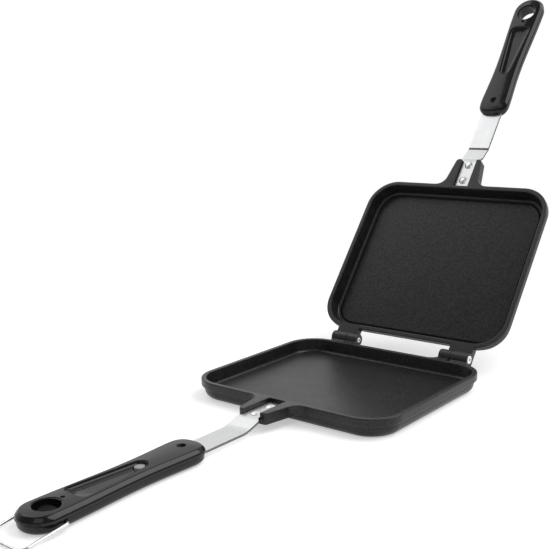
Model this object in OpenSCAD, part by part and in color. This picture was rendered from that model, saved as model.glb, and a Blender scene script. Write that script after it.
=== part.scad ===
// Pie iron: two hinged sandwich pans, each on a riveted steel tang with a moulded handle.
// It stands on the base pan with the lid open, and a wire bail on the lower handle locks it shut.
// X runs along the hinge, -Y points down the lower handle and Z is up. The origin is the middle
// of the base pan's flat underside. Each half is drawn with its rim face at z = 0 and its outside
// below, and "reach" is a distance from the rim's front edge towards the end of the handle.

/* [Pans] */
// Width of a pan, along the hinge
pan_w = 150; // [130:1:200]
// Depth of a pan, from the handle side to the hinge side
pan_d = 130; // [110:1:180]
// Height of one half, from its rim face to its flat outside
pan_h = 13; // [13:0.5:22]
// Radius of a pan's corners, seen from above
corner_r = 22; // [19:1:32]
// Thickness of the lid pan's floor under the drain groove
floor_t = 2.8; // [2.5:0.1:4]
// How much thicker the base pan's floor is, so that the iron stands with its lid open
base_floor_extra = 1.2; // [0:0.1:1.5]
// Width of the flat rim face
rim_w = 3.4; // [3:0.1:4]
// How far the rim flange stands out from the wall
flange_out = 2; // [1.5:0.25:2.5]
// Height of the rim flange
flange_h = 5; // [3.5:0.25:6]
// Radius of the flange's outer edges
flange_edge_r = 0.7; // [0.4:0.1:1.2]
// Outer radius between the wall and the underside
bottom_r = 6; // [5:0.5:7.5]
// How far the inner wall leans in from the rim to the floor
wall_draft = 1.2; // [0.5:0.1:1.5]
// Radius at the foot of the inner wall
foot_r = 2.2; // [1.5:0.1:3]
// Width of the drain groove's flat bottom
groove_w = 0.6; // [0.4:0.1:1.5]
// Depth of the drain groove round the raised floor
groove_depth = 0.9; // [0.5:0.1:1.5]
// Gap between the two rim faces when shut
rim_gap = 0.3; // [0.3:0.1:1]

/* [Lugs] */
// Length of a handle lug, out from the rim
lug_len = 23.5; // [21:0.5:32]
// Half width of a lug at its tip
lug_tip_half = 10.8; // [9.5:0.1:13]
// Angle by which the lug's flanks spread towards the rim
lug_flank = 10; // [6:1:14]
// Radius between the lug's flank and the rim
lug_root_r = 8; // [5:0.5:10]
// Radius of the lug's tip corners
lug_tip_r = 2; // [1:0.25:2.5]
// Thickness of the web under the strap
web_t = 2.7; // [2:0.1:4]

/* [Straps] */
// Width of a strap inside the lug's slot
tang_w = 12; // [10:0.5:14]
// Width of a strap between the lug and the handle
strap_w = 16.4; // [14:0.2:18]
// Thickness of a strap
strap_t = 1.8; // [1.5:0.1:2.4]
// Depth of the strap's face below the rim face
strap_drop = 2.7; // [2.5:0.1:3.5]
// Further drop from the lug to the handle
strap_step = 4.4; // [4:0.1:4.8]
// Reach of the second bend
bend_reach = 38; // [36:1:44]
// Length of solid handle between a strap's end and the recess
tang_to_recess = 5; // [3:0.5:12]
// Gap between a strap and the sides of its slots
slot_gap = 0.3; // [0.2:0.05:0.4]

/* [Rivets and pins] */
// Reach of the rivet next to the rim
rivet_in_reach = 5.5; // [4.5:0.5:7]
// Distance between the two rivets
rivet_pitch = 14; // [12:0.5:14]
// Radius of a rivet's shank
rivet_r = 2; // [1.5:0.1:2.5]
// Radius of a rivet's domed head
rivet_head_r = 3.5; // [3:0.1:4]
// Height of a rivet's domed head
rivet_head_h = 1.8; // [1.2:0.1:2]
// Height of a rivet's flat tail
rivet_tail_h = 0.9; // [0.6:0.1:1.5]
// Radius of the pin that holds a strap in its handle
cross_pin_r = 1.3; // [1:0.1:1.8]
// Distance of that pin from the handle's pan end
cross_pin_in = 12; // [10:0.5:16]
// Radial gap round a rivet or a cross pin
fixed_fit = 0.02; // [0.01:0.01:0.05]

/* [Hinges] */
// Distance of the hinge axis behind the rim
hinge_out = 9; // [8.5:0.25:12]
// Distance from a pan's side to the outer end of a hinge
hinge_inset = 19; // [17:0.5:32]
// Width of the base pan's knuckle
base_knuckle_w = 8.7; // [7:0.1:10]
// Width of the lid pan's knuckle
lid_knuckle_w = 13; // [10:0.5:14]
// Outer radius of the knuckles
knuckle_r = 4.4; // [4:0.1:5]
// Gap between neighbouring knuckles
knuckle_gap = 0.3; // [0.2:0.05:0.5]
// How far the lid's tab reaches past its knuckle, over the base's one
tab_lap = 5; // [3:0.5:6]
// Radius of a hinge pin
hinge_pin_r = 2; // [1.5:0.1:2.3]
// Radius of a hinge pin's head
hinge_head_r = 3.2; // [2.8:0.1:3.4]
// Thickness of a hinge pin's head
hinge_head_h = 1.4; // [1:0.1:2]
// Radial running gap of a hinge pin in the lid's knuckle
run_fit = 0.08; // [0.04:0.01:0.1]
// Angle by which the lid stands open
open_angle = 129; // [110:1:130]
// Gap at the heel that stops the lid
stop_gap = 0.3; // [0.2:0.1:0.6]

/* [Handles] */
// Reach of a handle's pan end
handle_reach = 70; // [64:1:90]
// Length of a handle
handle_len = 117; // [112:1:140]
// Half width at the rounded far end
handle_end_half = 12.5; // [11.5:0.1:14]
// Half width near the pan end
handle_pan_half = 12; // [11:0.1:14]
// How far the waist draws in on each side
waist_in = 1.6; // [0:0.1:2]
// Length of the handle's rounded pan end
pan_end_len = 12; // [9:0.5:14]
// Thickness of a handle
handle_t = 9.7; // [9.2:0.1:9.8]
// Depth of a handle's inner face below the rim face
face_drop = 3.1; // [2.7:0.1:3.1]
// Radius of the hanging hole
hang_r = 7; // [5:0.25:7.5]
// Distance from the handle's far end to the middle of the hanging hole
hang_in = 15.5; // [14:0.5:17]
// Chamfer of the hanging hole
hang_chamfer = 0.6; // [0.4:0.1:1]
// Length of the tapered recess
recess_len = 47; // [40:1:50]
// Distance from the handle's far end to the recess
recess_in = 32; // [30:1:34]
// Depth of the recess
recess_depth = 4; // [3:0.25:4.5]
// Half width of the recess at its wide end
recess_wide_half = 8; // [6:0.25:8.5]
// Half width of the recess at its narrow, round end
recess_narrow_half = 4.6; // [4.4:0.1:5.5]
// Radius of the button in the lower handle's recess
button_r = 3.9; // [3:0.1:4.1]
// Depth of the button's top below the handle's face
button_drop = 0.5; // [0.2:0.1:1]
// Radius of the small hole beside the hanging hole
vent_r = 1; // [0.6:0.1:1.2]

/* [Bail] */
// Radius of the bail's wire
wire_r = 1.25; // [1:0.05:1.5]
// Distance from the bail's pivot to its cross bar
bail_len = 27.5; // [27.5:0.5:36]
// Distance from the handle's far end to the bail's pivot
pivot_in = 17; // [16:0.5:17]
// Depth of the pivot below the handle's inner face
pivot_drop = 5.7; // [5.2:0.1:5.8]
// Gap between the bail's legs and the widest part of the handle
bail_gap = 0.5; // [0.4:0.1:1]
// Radius of the bail's two far corners, along the wire
bail_corner_r = 5; // [3:0.5:7]
// Radius of the bends at the pivots, along the wire
bail_bend_r = 2.2; // [1.8:0.1:2.6]
// Depth of a pivot hole, from the widest part of the handle
pivot_hole_depth = 4; // [3:0.25:4.5]
// Radial running gap of the bail in its pivot holes
bail_fit = 0.08; // [0.04:0.01:0.1]

/* [Hidden] */
$fn = 64;

past = 1;                              // how far a cut runs past the face it opens
sink = 3;                              // how far a lug or an arm runs into the pan's wall
front_y = -pan_d / 2;                  // the rim's front edge
hinge_y = pan_d / 2 + hinge_out;       // the hinge axis
axis_lift = rim_gap / 2;               // the hinge axis above a half's rim face
body_r = corner_r - flange_out;
cavity_r = corner_r - rim_w;
foot_x = cavity_r - wall_draft;
floor_x = foot_x - foot_r - groove_w - groove_depth;
rim_ease = 0.5;                        // small bevel on the rim's inner edge

lug_h = strap_drop + strap_t + web_t;
slot_half = tang_w / 2 + slot_gap;
slot_start = -0.8;                     // the slot ends just inside the rim's front edge
rivet_out_reach = rivet_in_reach + rivet_pitch;
flare_len = 3;                         // length over which a strap widens outside its lug
strap_low = strap_drop + strap_step;   // the strap's face at the handle

hinge_out_x = pan_w / 2 - hinge_inset;
knuckle_x = hinge_out_x - lid_knuckle_w;
hinge_in_x = knuckle_x - knuckle_gap - base_knuckle_w;
head_gap = 0.2;                        // gap under and round a hinge pin's head
stop_height = hinge_out * sin(open_angle) + (flange_h + axis_lift) * cos(open_angle);
heel_h = stop_height - stop_gap;
heel_len = hinge_out * -cos(open_angle) + (flange_h + axis_lift) * sin(open_angle) + 0.6;

handle_end = handle_reach + handle_len;
end_centre = handle_end - handle_end_half;
pan_end = handle_reach + pan_end_len;
handle_back = face_drop + handle_t;
pin_reach = handle_reach + cross_pin_in;
pin_sunk = 1.2;                        // how far a cross pin's end lies below the handle's face
pin_hole_end = 1.6;                    // thickness left under a cross pin's hole
recess_wide = handle_end - recess_in;
recess_narrow = recess_wide - recess_len;
recess_round_end = recess_narrow + recess_narrow_half;
strap_end = recess_narrow - tang_to_recess;
vent_reach = handle_end - hang_in - hang_r - 2.6;
back_land = 0.5;                       // flat left on the handle's back beside the hanging hole
back_inset = handle_end_half - hang_r - hang_chamfer - back_land;

leg_x = handle_end_half + bail_gap + wire_r;
pivot_reach = handle_end - pivot_in;
pivot_y = front_y - pivot_reach;
pivot_z = pan_h - face_drop - pivot_drop;
bail_rest = asin((pivot_z - wire_r) / bail_len);

coat = [0.16, 0.16, 0.165];
moulded = [0.09, 0.09, 0.095];
steel = [0.86, 0.87, 0.88];

// Points on an arc round [cx, cy], from angle a0 to a1
function arc(cx, cy, r, a0, a1, n = 6) =
    [for (i = [0 : n]) let (a = a0 + (a1 - a0) * i / n) [cx + r * cos(a), cy + r * sin(a)]];

// Mirrors a list of points in X and reverses it, for the other half of an outline
function other_half(points) =
    [for (i = [len(points) - 1 : -1 : 0]) [-points[i][0], points[i][1]]];

// ---- placing the two halves ----

module place_lower() {
    translate([0, 0, pan_h]) children();
}

module place_upper() {
    translate([0, hinge_y, pan_h + axis_lift])
        rotate([-open_angle, 0, 0])
            translate([0, -hinge_y, axis_lift])
                mirror([0, 0, 1]) children();
}

// Puts an outline of [x, reach] points, or shapes drawn so, in front of the rim
module in_front() {
    translate([0, front_y, 0]) mirror([0, 1, 0]) children();
}

// Extrudes a [y, z] outline along X, from x0 to x1
module along_x(x0, x1) {
    translate([x0, 0, 0])
        rotate([90, 0, 90])
            linear_extrude(height = x1 - x0) children();
}

// Draws its children at both hinges
module both_sides() {
    children();
    mirror([1, 0, 0]) children();
}

// ---- the pan casting ----

// Outside of a pan's section, from the corner's centre line outwards
module outer_section() {
    translate([0, -pan_h]) square([body_r - bottom_r, pan_h]);
    translate([0, bottom_r - pan_h]) square([body_r, pan_h - bottom_r]);
    translate([body_r - bottom_r, bottom_r - pan_h]) circle(r = bottom_r);
    translate([0, -flange_h]) square([corner_r - flange_edge_r, flange_h]);
    translate([0, flange_edge_r - flange_h]) square([corner_r, flange_h - 2 * flange_edge_r]);
    for (z = [-flange_edge_r, flange_edge_r - flange_h])
        translate([corner_r - flange_edge_r, z]) circle(r = flange_edge_r);
}

// Hollow of a pan's section: eased rim, leaning wall, round foot, groove and raised floor
module cavity_section(cavity_h) {
    polygon(concat(
        [[0, past], [cavity_r + rim_ease, past], [cavity_r + rim_ease, 0], [cavity_r, -rim_ease]],
        arc(foot_x - foot_r, foot_r - cavity_h, foot_r, 0, -90),
        [[floor_x + groove_depth, -cavity_h], [floor_x, groove_depth - cavity_h]],
        [[0, groove_depth - cavity_h]]
    ));
}

// Sweeps a section round a rounded rectangle of the pan's size and fills its middle
module swept(bottom, top) {
    side_w = pan_w / 2 - corner_r;
    side_d = pan_d / 2 - corner_r;
    for (x = [0, 1], y = [0, 1])
        mirror([x, 0, 0]) mirror([0, y, 0])
            translate([side_w, side_d, 0]) rotate_extrude(angle = 90) children();
    for (x = [0, 1])
        mirror([x, 0, 0]) translate([side_w, side_d, 0])
            rotate([90, 0, 0]) linear_extrude(height = 2 * side_d) children();
    for (y = [0, 1])
        mirror([0, y, 0]) translate([-side_w, side_d, 0])
            rotate([90, 0, 90]) linear_extrude(height = 2 * side_w) children();
    translate([-side_w, -side_d, bottom]) cube([2 * side_w, 2 * side_d, top - bottom]);
}

// Outline of a lug in [x, reach], with flanks that run into the rim on a round root
function lug_half() =
    let (edge = lug_tip_half + (lug_len - lug_tip_r) * tan(lug_flank))
    let (root_x = edge + lug_root_r / cos(lug_flank) - lug_root_r * tan(lug_flank))
    concat(
        [[root_x, -sink]],
        arc(root_x, lug_root_r, lug_root_r, 270, 180 + lug_flank, 8),
        arc(lug_tip_half - lug_tip_r, lug_len - lug_tip_r, lug_tip_r, lug_flank, 90)
    );

module lug() {
    in_front() translate([0, 0, -lug_h])
        linear_extrude(height = lug_h) polygon(concat(lug_half(), other_half(lug_half())));
}

// The strap's slot, which runs a little into the rim, and the holes for the two rivets
module lug_cuts() {
    in_front() {
        translate([-slot_half, slot_start, -strap_drop - strap_t])
            cube([2 * slot_half, lug_len + past - slot_start, lug_h]);
        for (reach = [rivet_in_reach, rivet_out_reach])
            translate([0, reach, -lug_h - past])
                cylinder(r = rivet_r + fixed_fit, h = lug_h + 2 * past);
    }
}

module pan_half(floor_h) {
    cavity_h = pan_h - floor_h;
    difference() {
        union() {
            swept(-pan_h, 0) outer_section();
            lug();
        }
        swept(groove_depth - cavity_h, past) cavity_section(cavity_h);
        lug_cuts();
    }
}

// Bar along a hinge axis, from x0 to x1
module hinge_bar(r, x0, x1) {
    translate([x0, hinge_y, axis_lift]) rotate([0, 90, 0]) cylinder(r = r, h = x1 - x0);
}

module base_arm() {
    arm_end = hinge_in_x + base_knuckle_w;
    root_y = pan_d / 2;
    root_r = hinge_out - knuckle_r;
    hinge_bar(knuckle_r, hinge_in_x, arm_end);
    along_x(hinge_in_x, arm_end)
        translate([root_y - sink, axis_lift - knuckle_r])
            square([hinge_out + sink, knuckle_r - axis_lift]);
    // round root on the arm's inner side
    translate([hinge_in_x, root_y, axis_lift - knuckle_r])
        linear_extrude(height = knuckle_r - axis_lift)
            difference() {
                translate([-root_r, -sink]) square([root_r + past, sink + root_r]);
                translate([-root_r, root_r]) circle(r = root_r);
            }
}

module base_pan() {
    color(coat) place_lower() difference() {
        union() {
            pan_half(floor_t + base_floor_extra);
            both_sides() base_arm();
        }
        both_sides()
            hinge_bar(hinge_pin_r + fixed_fit, hinge_in_x - past, knuckle_x);
    }
}

module lid_tab() {
    plate_x = knuckle_x - tab_lap;
    root_y = pan_d / 2 - sink;
    // plate from the rim to the axis, cut round for the base's knuckle
    difference() {
        along_x(plate_x, hinge_out_x)
            translate([root_y, -flange_h]) square([hinge_y - root_y, flange_h]);
        hinge_bar(knuckle_r + 2 * knuckle_gap, plate_x - past, knuckle_x);
        translate([plate_x - past, hinge_y - knuckle_r, -flange_h - past])
            cube([tab_lap + past, knuckle_r + past, flange_h + 2 * past]);
    }
    hinge_bar(knuckle_r, knuckle_x, hinge_out_x);
    // heel behind the axis, which meets the base's flange when the lid is open
    along_x(knuckle_x, hinge_out_x)
        polygon([
            [hinge_y, -flange_h],
            [hinge_y + heel_len - 2, -flange_h],
            [hinge_y + heel_len, 2 - flange_h],
            [hinge_y + heel_len, heel_h + axis_lift],
            [hinge_y + heel_len / 2, heel_h + axis_lift],
            [hinge_y, knuckle_r / 2]
        ]);
}

module lid_pan() {
    color(coat) place_upper() difference() {
        union() {
            pan_half(floor_t);
            both_sides() lid_tab();
        }
        both_sides() {
            hinge_bar(hinge_pin_r + run_fit, knuckle_x - past, hinge_out_x + past);
            hinge_bar(hinge_head_r + head_gap, hinge_out_x - hinge_head_h, hinge_out_x + past);
        }
    }
}

// ---- steel pieces ----

// A strap: narrow in the lug, bent down outside it, straight into the handle
module strap() {
    bend_1 = lug_len + 0.5;
    wide = bend_1 + flare_len;
    plan = [
        [tang_w / 2, slot_start + slot_gap],
        [tang_w / 2, bend_1],
        [strap_w / 2, wide],
        [strap_w / 2, strap_end]
    ];
    side = [
        [slot_start + slot_gap, -strap_drop],
        [bend_1, -strap_drop],
        [bend_reach, -strap_low],
        [strap_end, -strap_low]
    ];
    under = [for (i = [3 : -1 : 0]) [side[i][0], side[i][1] - strap_t]];
    in_front() difference() {
        intersection() {
            along_x(-strap_w, strap_w) polygon(concat(side, under));
            translate([0, 0, -handle_back])
                linear_extrude(height = handle_back) polygon(concat(plan, other_half(plan)));
        }
        for (reach = [rivet_in_reach, rivet_out_reach])
            translate([0, reach, -lug_h]) cylinder(r = rivet_r + fixed_fit, h = lug_h);
        translate([0, pin_reach, -handle_back])
            cylinder(r = cross_pin_r + fixed_fit, h = handle_back);
    }
}

// A rivet, with its domed head on the strap and its flat tail under the web
module rivet(reach) {
    dome_r = (rivet_head_r * rivet_head_r + rivet_head_h * rivet_head_h) / (2 * rivet_head_h);
    tail_r = rivet_head_r - 0.5;
    in_front() translate([0, reach, 0]) {
        translate([0, 0, -lug_h]) cylinder(r = rivet_r, h = lug_h - strap_drop);
        translate([0, 0, -strap_drop]) intersection() {
            translate([0, 0, rivet_head_h - dome_r]) sphere(r = dome_r);
            cylinder(r = rivet_head_r + past, h = rivet_head_h + past);
        }
        translate([0, 0, -lug_h - rivet_tail_h]) cylinder(r = tail_r, h = rivet_tail_h);
    }
}

module lower_strap() { color(steel) place_lower() strap(); }
module upper_strap() { color(steel) place_upper() strap(); }
module lower_rivet_inner() { color(steel) place_lower() rivet(rivet_in_reach); }
module lower_rivet_outer() { color(steel) place_lower() rivet(rivet_out_reach); }
module upper_rivet_inner() { color(steel) place_upper() rivet(rivet_in_reach); }
module upper_rivet_outer() { color(steel) place_upper() rivet(rivet_out_reach); }

// The right hinge's pin, fast in the base's knuckle, with its head let into the lid's knuckle
module hinge_pin() {
    head_x = hinge_out_x - hinge_head_h + head_gap;
    color(steel) place_lower() {
        hinge_bar(hinge_pin_r, hinge_in_x, head_x);
        hinge_bar(hinge_head_r, head_x, head_x + hinge_head_h);
    }
}

module hinge_pin_right() { hinge_pin(); }
module hinge_pin_left() { mirror([1, 0, 0]) hinge_pin(); }

// Pin through a handle and its strap, sunk below the handle's inner face
module cross_pin() {
    in_front() translate([0, pin_reach, pin_hole_end - handle_back])
        cylinder(r = cross_pin_r, h = handle_t - pin_hole_end - pin_sunk);
}

module lower_handle_pin() { color(steel) place_lower() cross_pin(); }
module upper_handle_pin() { color(steel) place_upper() cross_pin(); }

// ---- handles ----

// [depth below the inner face, inset from the widest outline] down a handle's side:
// flat face, bevel, mould ledge, side wall a little inside it, rounded back
SIDE_LEVELS = [
    [0, 2.5], [0.2, 1.9], [1.7, 0.5], [2.3, 0.15], [3, 0], [4.1, 0], [4.3, 0.6],
    [handle_t * 0.7, 0.6], [handle_t * 0.84, 1.4], [handle_t * 0.95, 2.7], [handle_t, back_inset]
];
END_STEPS = 16;
SIDE_STEPS = 12;

// Half width of a handle at a reach between its two rounded ends
function grip_half(reach) =
    let (u = (reach - pan_end) / (end_centre - pan_end))
    handle_pan_half + (handle_end_half - handle_pan_half) * u
        - waist_in * pow(sin(180 * pow(u, 0.75)), 2);

// Half ellipse with square shoulders, for the pan end
function shoulder(v) = sign(v) * pow(abs(v), 0.77);

// Outline of a handle in [x, reach], drawn in by an inset
function grip_outline(inset) = concat(
    arc(0, end_centre, handle_end_half - inset, 0, 180, END_STEPS),
    [for (i = [1 : SIDE_STEPS - 1])
        let (reach = end_centre + (pan_end - end_centre) * i / SIDE_STEPS)
        [inset - grip_half(reach), reach]],
    [for (i = [0 : END_STEPS])
        let (a = 180 + 180 * i / END_STEPS)
        [(handle_pan_half - inset) * shoulder(cos(a)),
         pan_end + (pan_end_len - inset) * shoulder(sin(a))]],
    [for (i = [SIDE_STEPS - 1 : -1 : 1])
        let (reach = end_centre + (pan_end - end_centre) * i / SIDE_STEPS)
        [grip_half(reach) - inset, reach]]
);

// The solid grip: its outline at each side level, joined ring to ring
module grip() {
    rings = [for (level = SIDE_LEVELS)
        [for (p = grip_outline(level[1])) [p[0], p[1], -face_drop - level[0]]]];
    n = len(rings[0]);
    last = len(rings) - 1;
    points = [for (ring = rings) for (p = ring) p];
    walls = [for (k = [0 : last - 1]) for (i = [0 : n - 1])
        let (j = (i + 1) % n)
        [k * n + i, k * n + j, (k + 1) * n + j, (k + 1) * n + i]];
    face = [[for (i = [n - 1 : -1 : 0]) i]];
    back = [[for (i = [0 : n - 1]) last * n + i]];
    polyhedron(points = points, faces = concat(face, walls, back), convexity = 4);
}

// A round foot of the recess, from a wall's top or from its floor
module recess_foot(x, reach, r, drop) {
    translate([x, reach, -face_drop - drop]) cylinder(r = r, h = past / 4, $fn = 32);
}

// The tapered recess: wide at the far end, narrow and round towards the pan. Its walls slope
// and run on above the handle's face, so the feet up there are larger in the same measure.
module recess() {
    edge_r = 1.6;
    floor_share = 0.6;
    end_slope = 4.5;
    grow = past / recess_depth;
    wide_grow = (recess_wide_half - edge_r - recess_wide_half * floor_share) * grow;
    hull() {
        recess_foot(
            0, recess_round_end, recess_narrow_half * (1 + (1 - floor_share) * grow), -past
        );
        recess_foot(0, recess_round_end, recess_narrow_half * floor_share, recess_depth);
        for (side = [-1, 1]) {
            recess_foot(
                side * (recess_wide_half - edge_r + wide_grow),
                recess_wide - edge_r + end_slope * grow, edge_r, -past
            );
            recess_foot(
                side * recess_wide_half * floor_share,
                recess_wide - edge_r - end_slope, edge_r / 2, recess_depth
            );
        }
    }
}

module hanging_hole() {
    outer = hang_r + hang_chamfer + past;
    translate([0, handle_end - hang_in, 0]) rotate_extrude() polygon([
        [0, -handle_back - past],
        [outer, -handle_back - past],
        [hang_r, hang_chamfer - handle_back],
        [hang_r, -face_drop - hang_chamfer],
        [outer, past - face_drop],
        [0, past - face_drop]
    ]);
}

// A handle with what both handles have: strap slot, pin hole, recess and hanging hole
module handle() {
    slot_w = strap_w + 2 * slot_gap;
    slot_play = 0.1;
    difference() {
        grip();
        translate([-slot_w / 2, handle_reach - past, -strap_low - strap_t - slot_play])
            cube([slot_w, strap_end - handle_reach + past + slot_gap, strap_t + 2 * slot_play]);
        translate([0, pin_reach, pin_hole_end - handle_back])
            cylinder(r = cross_pin_r + fixed_fit, h = handle_t);
        recess();
        hanging_hole();
        translate([0, vent_reach, -face_drop - recess_depth / 2])
            cylinder(r = vent_r, h = recess_depth);
    }
}

module lower_handle() {
    color(moulded) place_lower() in_front() difference() {
        handle();
        translate([0, recess_round_end, -face_drop - recess_depth])
            cylinder(r = button_r + fixed_fit, h = recess_depth + past);
        for (side = [0, 1])
            mirror([side, 0, 0])
                translate([handle_end_half - pivot_hole_depth, pivot_reach, -face_drop - pivot_drop])
                    rotate([0, 90, 0])
                        cylinder(r = wire_r + bail_fit, h = pivot_hole_depth + past);
    }
}

module upper_handle() {
    color(moulded) place_upper() in_front() handle();
}

module handle_button() {
    crown = 0.6;
    top = recess_depth - button_drop;
    color([0.3, 0.3, 0.3]) place_lower() in_front()
        translate([0, recess_round_end, -face_drop - recess_depth])
            rotate_extrude() {
                square([button_r, top - crown]);
                square([button_r - crown, top]);
                translate([button_r - crown, top - crown]) circle(r = crown);
            }
}

// ---- bail ----

// Straight wire from the origin along +Z, and a quarter bend round a centre at x = -r
module wire(length) { cylinder(r = wire_r, h = length); }
module wire_bend(r) { rotate_extrude(angle = 90) translate([r, 0]) circle(r = wire_r); }

// Half of the bail, drawn with its pivot at the origin and its cross bar at y = -bail_len
module bail_half() {
    foot_in = handle_end_half - pivot_hole_depth + 0.2;
    translate([foot_in, 0, 0]) rotate([0, 90, 0]) wire(leg_x - bail_bend_r - foot_in);
    translate([leg_x - bail_bend_r, -bail_bend_r, 0]) wire_bend(bail_bend_r);
    translate([leg_x, -bail_bend_r, 0])
        rotate([90, 0, 0]) wire(bail_len - bail_bend_r - bail_corner_r);
    translate([leg_x - bail_corner_r, bail_corner_r - bail_len, 0])
        mirror([0, 1, 0]) wire_bend(bail_corner_r);
    translate([0, -bail_len, 0]) rotate([0, 90, 0]) wire(leg_x - bail_corner_r);
}

module bail() {
    color(steel) translate([0, pivot_y, pivot_z]) rotate([bail_rest, 0, 0]) both_sides() bail_half();
}

base_pan();
lid_pan();
lower_strap();
upper_strap();
lower_rivet_inner();
lower_rivet_outer();
upper_rivet_inner();
upper_rivet_outer();
lower_handle();
upper_handle();
lower_handle_pin();
upper_handle_pin();
handle_button();
hinge_pin_right();
hinge_pin_left();
bail();
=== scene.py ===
"""Looks for the pie iron: finer meshes, finishes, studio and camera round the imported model.

Each half of the iron is drawn in millimetres in its own frame: x along the hinge, the rim face
at z = 0 with the outside below it, and the handle towards -y. Reach is a distance from the rim's
front edge towards the end of the handle. HalfPlace puts a half in the row frame.
"""

from __future__ import annotations

import logging
import math
from collections.abc import Sequence
from dataclasses import dataclass, field
from enum import Enum

import bmesh
import bpy
from mathutils import Matrix, Vector

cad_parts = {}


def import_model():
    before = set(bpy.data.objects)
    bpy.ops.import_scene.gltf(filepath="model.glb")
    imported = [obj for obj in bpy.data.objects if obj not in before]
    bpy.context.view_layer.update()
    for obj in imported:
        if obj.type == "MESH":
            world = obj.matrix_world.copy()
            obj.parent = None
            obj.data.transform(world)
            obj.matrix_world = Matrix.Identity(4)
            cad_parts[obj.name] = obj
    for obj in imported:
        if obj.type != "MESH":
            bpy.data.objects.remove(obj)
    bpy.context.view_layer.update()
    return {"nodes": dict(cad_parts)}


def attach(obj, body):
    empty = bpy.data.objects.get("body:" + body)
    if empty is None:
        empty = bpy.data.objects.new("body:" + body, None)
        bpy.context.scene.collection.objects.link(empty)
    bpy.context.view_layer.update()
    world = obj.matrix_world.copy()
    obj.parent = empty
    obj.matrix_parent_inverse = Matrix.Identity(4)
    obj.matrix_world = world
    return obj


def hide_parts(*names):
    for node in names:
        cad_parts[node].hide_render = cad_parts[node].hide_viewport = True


log = logging.getLogger("pie_iron")

Point2 = tuple[float, float]
Point3 = tuple[float, float, float]
Socket = bpy.types.NodeSocket
Sockets = bpy.types.bpy_prop_collection

MM = 0.001
# Points nearer to each other than this many millimetres are one point.
NEAR = 1e-4
RIVET_REACHES = {"inner": 5.5, "outer": 19.5}
CROSS_PIN_REACH = 82.0
BAIL_PIVOT = (170.0, -8.8)


# ---- where things are ----


class Half(Enum):
    """The two halves of the iron, by the CAD body that each one belongs to."""

    BASE = "base"
    LID = "lid"


@dataclass(frozen=True)
class HalfPlace:
    """Where a half lies: the base flat on the floor, the lid turned open about the hinge."""

    half: Half
    pan_h: float = 13.0
    front_y: float = -65.0
    axis_y: float = 74.0
    axis_lift: float = 0.15
    open_angle: float = 129.0

    def matrix(self) -> Matrix:
        """Return the matrix from the half's millimetres to the row frame's metres.

        Returns:
            The matrix.
        """
        if self.half is Half.BASE:
            return Matrix.Scale(MM, 4) @ Matrix.Translation((0, 0, self.pan_h))
        return (
            Matrix.Scale(MM, 4)
            @ Matrix.Translation((0, self.axis_y, self.pan_h + self.axis_lift))
            @ Matrix.Rotation(-math.radians(self.open_angle), 4, "X")
            @ Matrix.Translation((0, -self.axis_y, self.axis_lift))
            @ Matrix.Scale(-1, 4, (0, 0, 1))
        )

    def forward(self) -> Matrix:
        """Return the matrix from x, reach and z to the half's millimetres."""
        return Matrix.Translation((0, self.front_y, 0)) @ Matrix.Scale(-1, 4, (0, 1, 0))

    def mapping(self) -> tuple[Point3, Point3, Point3]:
        """Return location, rotation and scale of a Mapping node back to the half's millimetres.

        Returns:
            The three settings, for coordinates in metres.
        """
        location = tuple(self.matrix().inverted().translation)
        if self.half is Half.BASE:
            return location, (0.0, 0.0, 0.0), (1 / MM, 1 / MM, 1 / MM)
        turn = -math.radians(self.open_angle)
        return location, (turn, 0.0, 0.0), (1 / MM, 1 / MM, -1 / MM)


def put(name: str, data: bpy.types.ID) -> bpy.types.Object:
    """Make an object of a mesh, a lamp or a camera in the scene, and return it.

    Args:
        name: Its name.
        data: What it shows.

    Returns:
        The object.
    """
    thing = bpy.data.objects.new(name, data)
    bpy.context.scene.collection.objects.link(thing)
    return thing


# ---- node helpers ----


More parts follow.
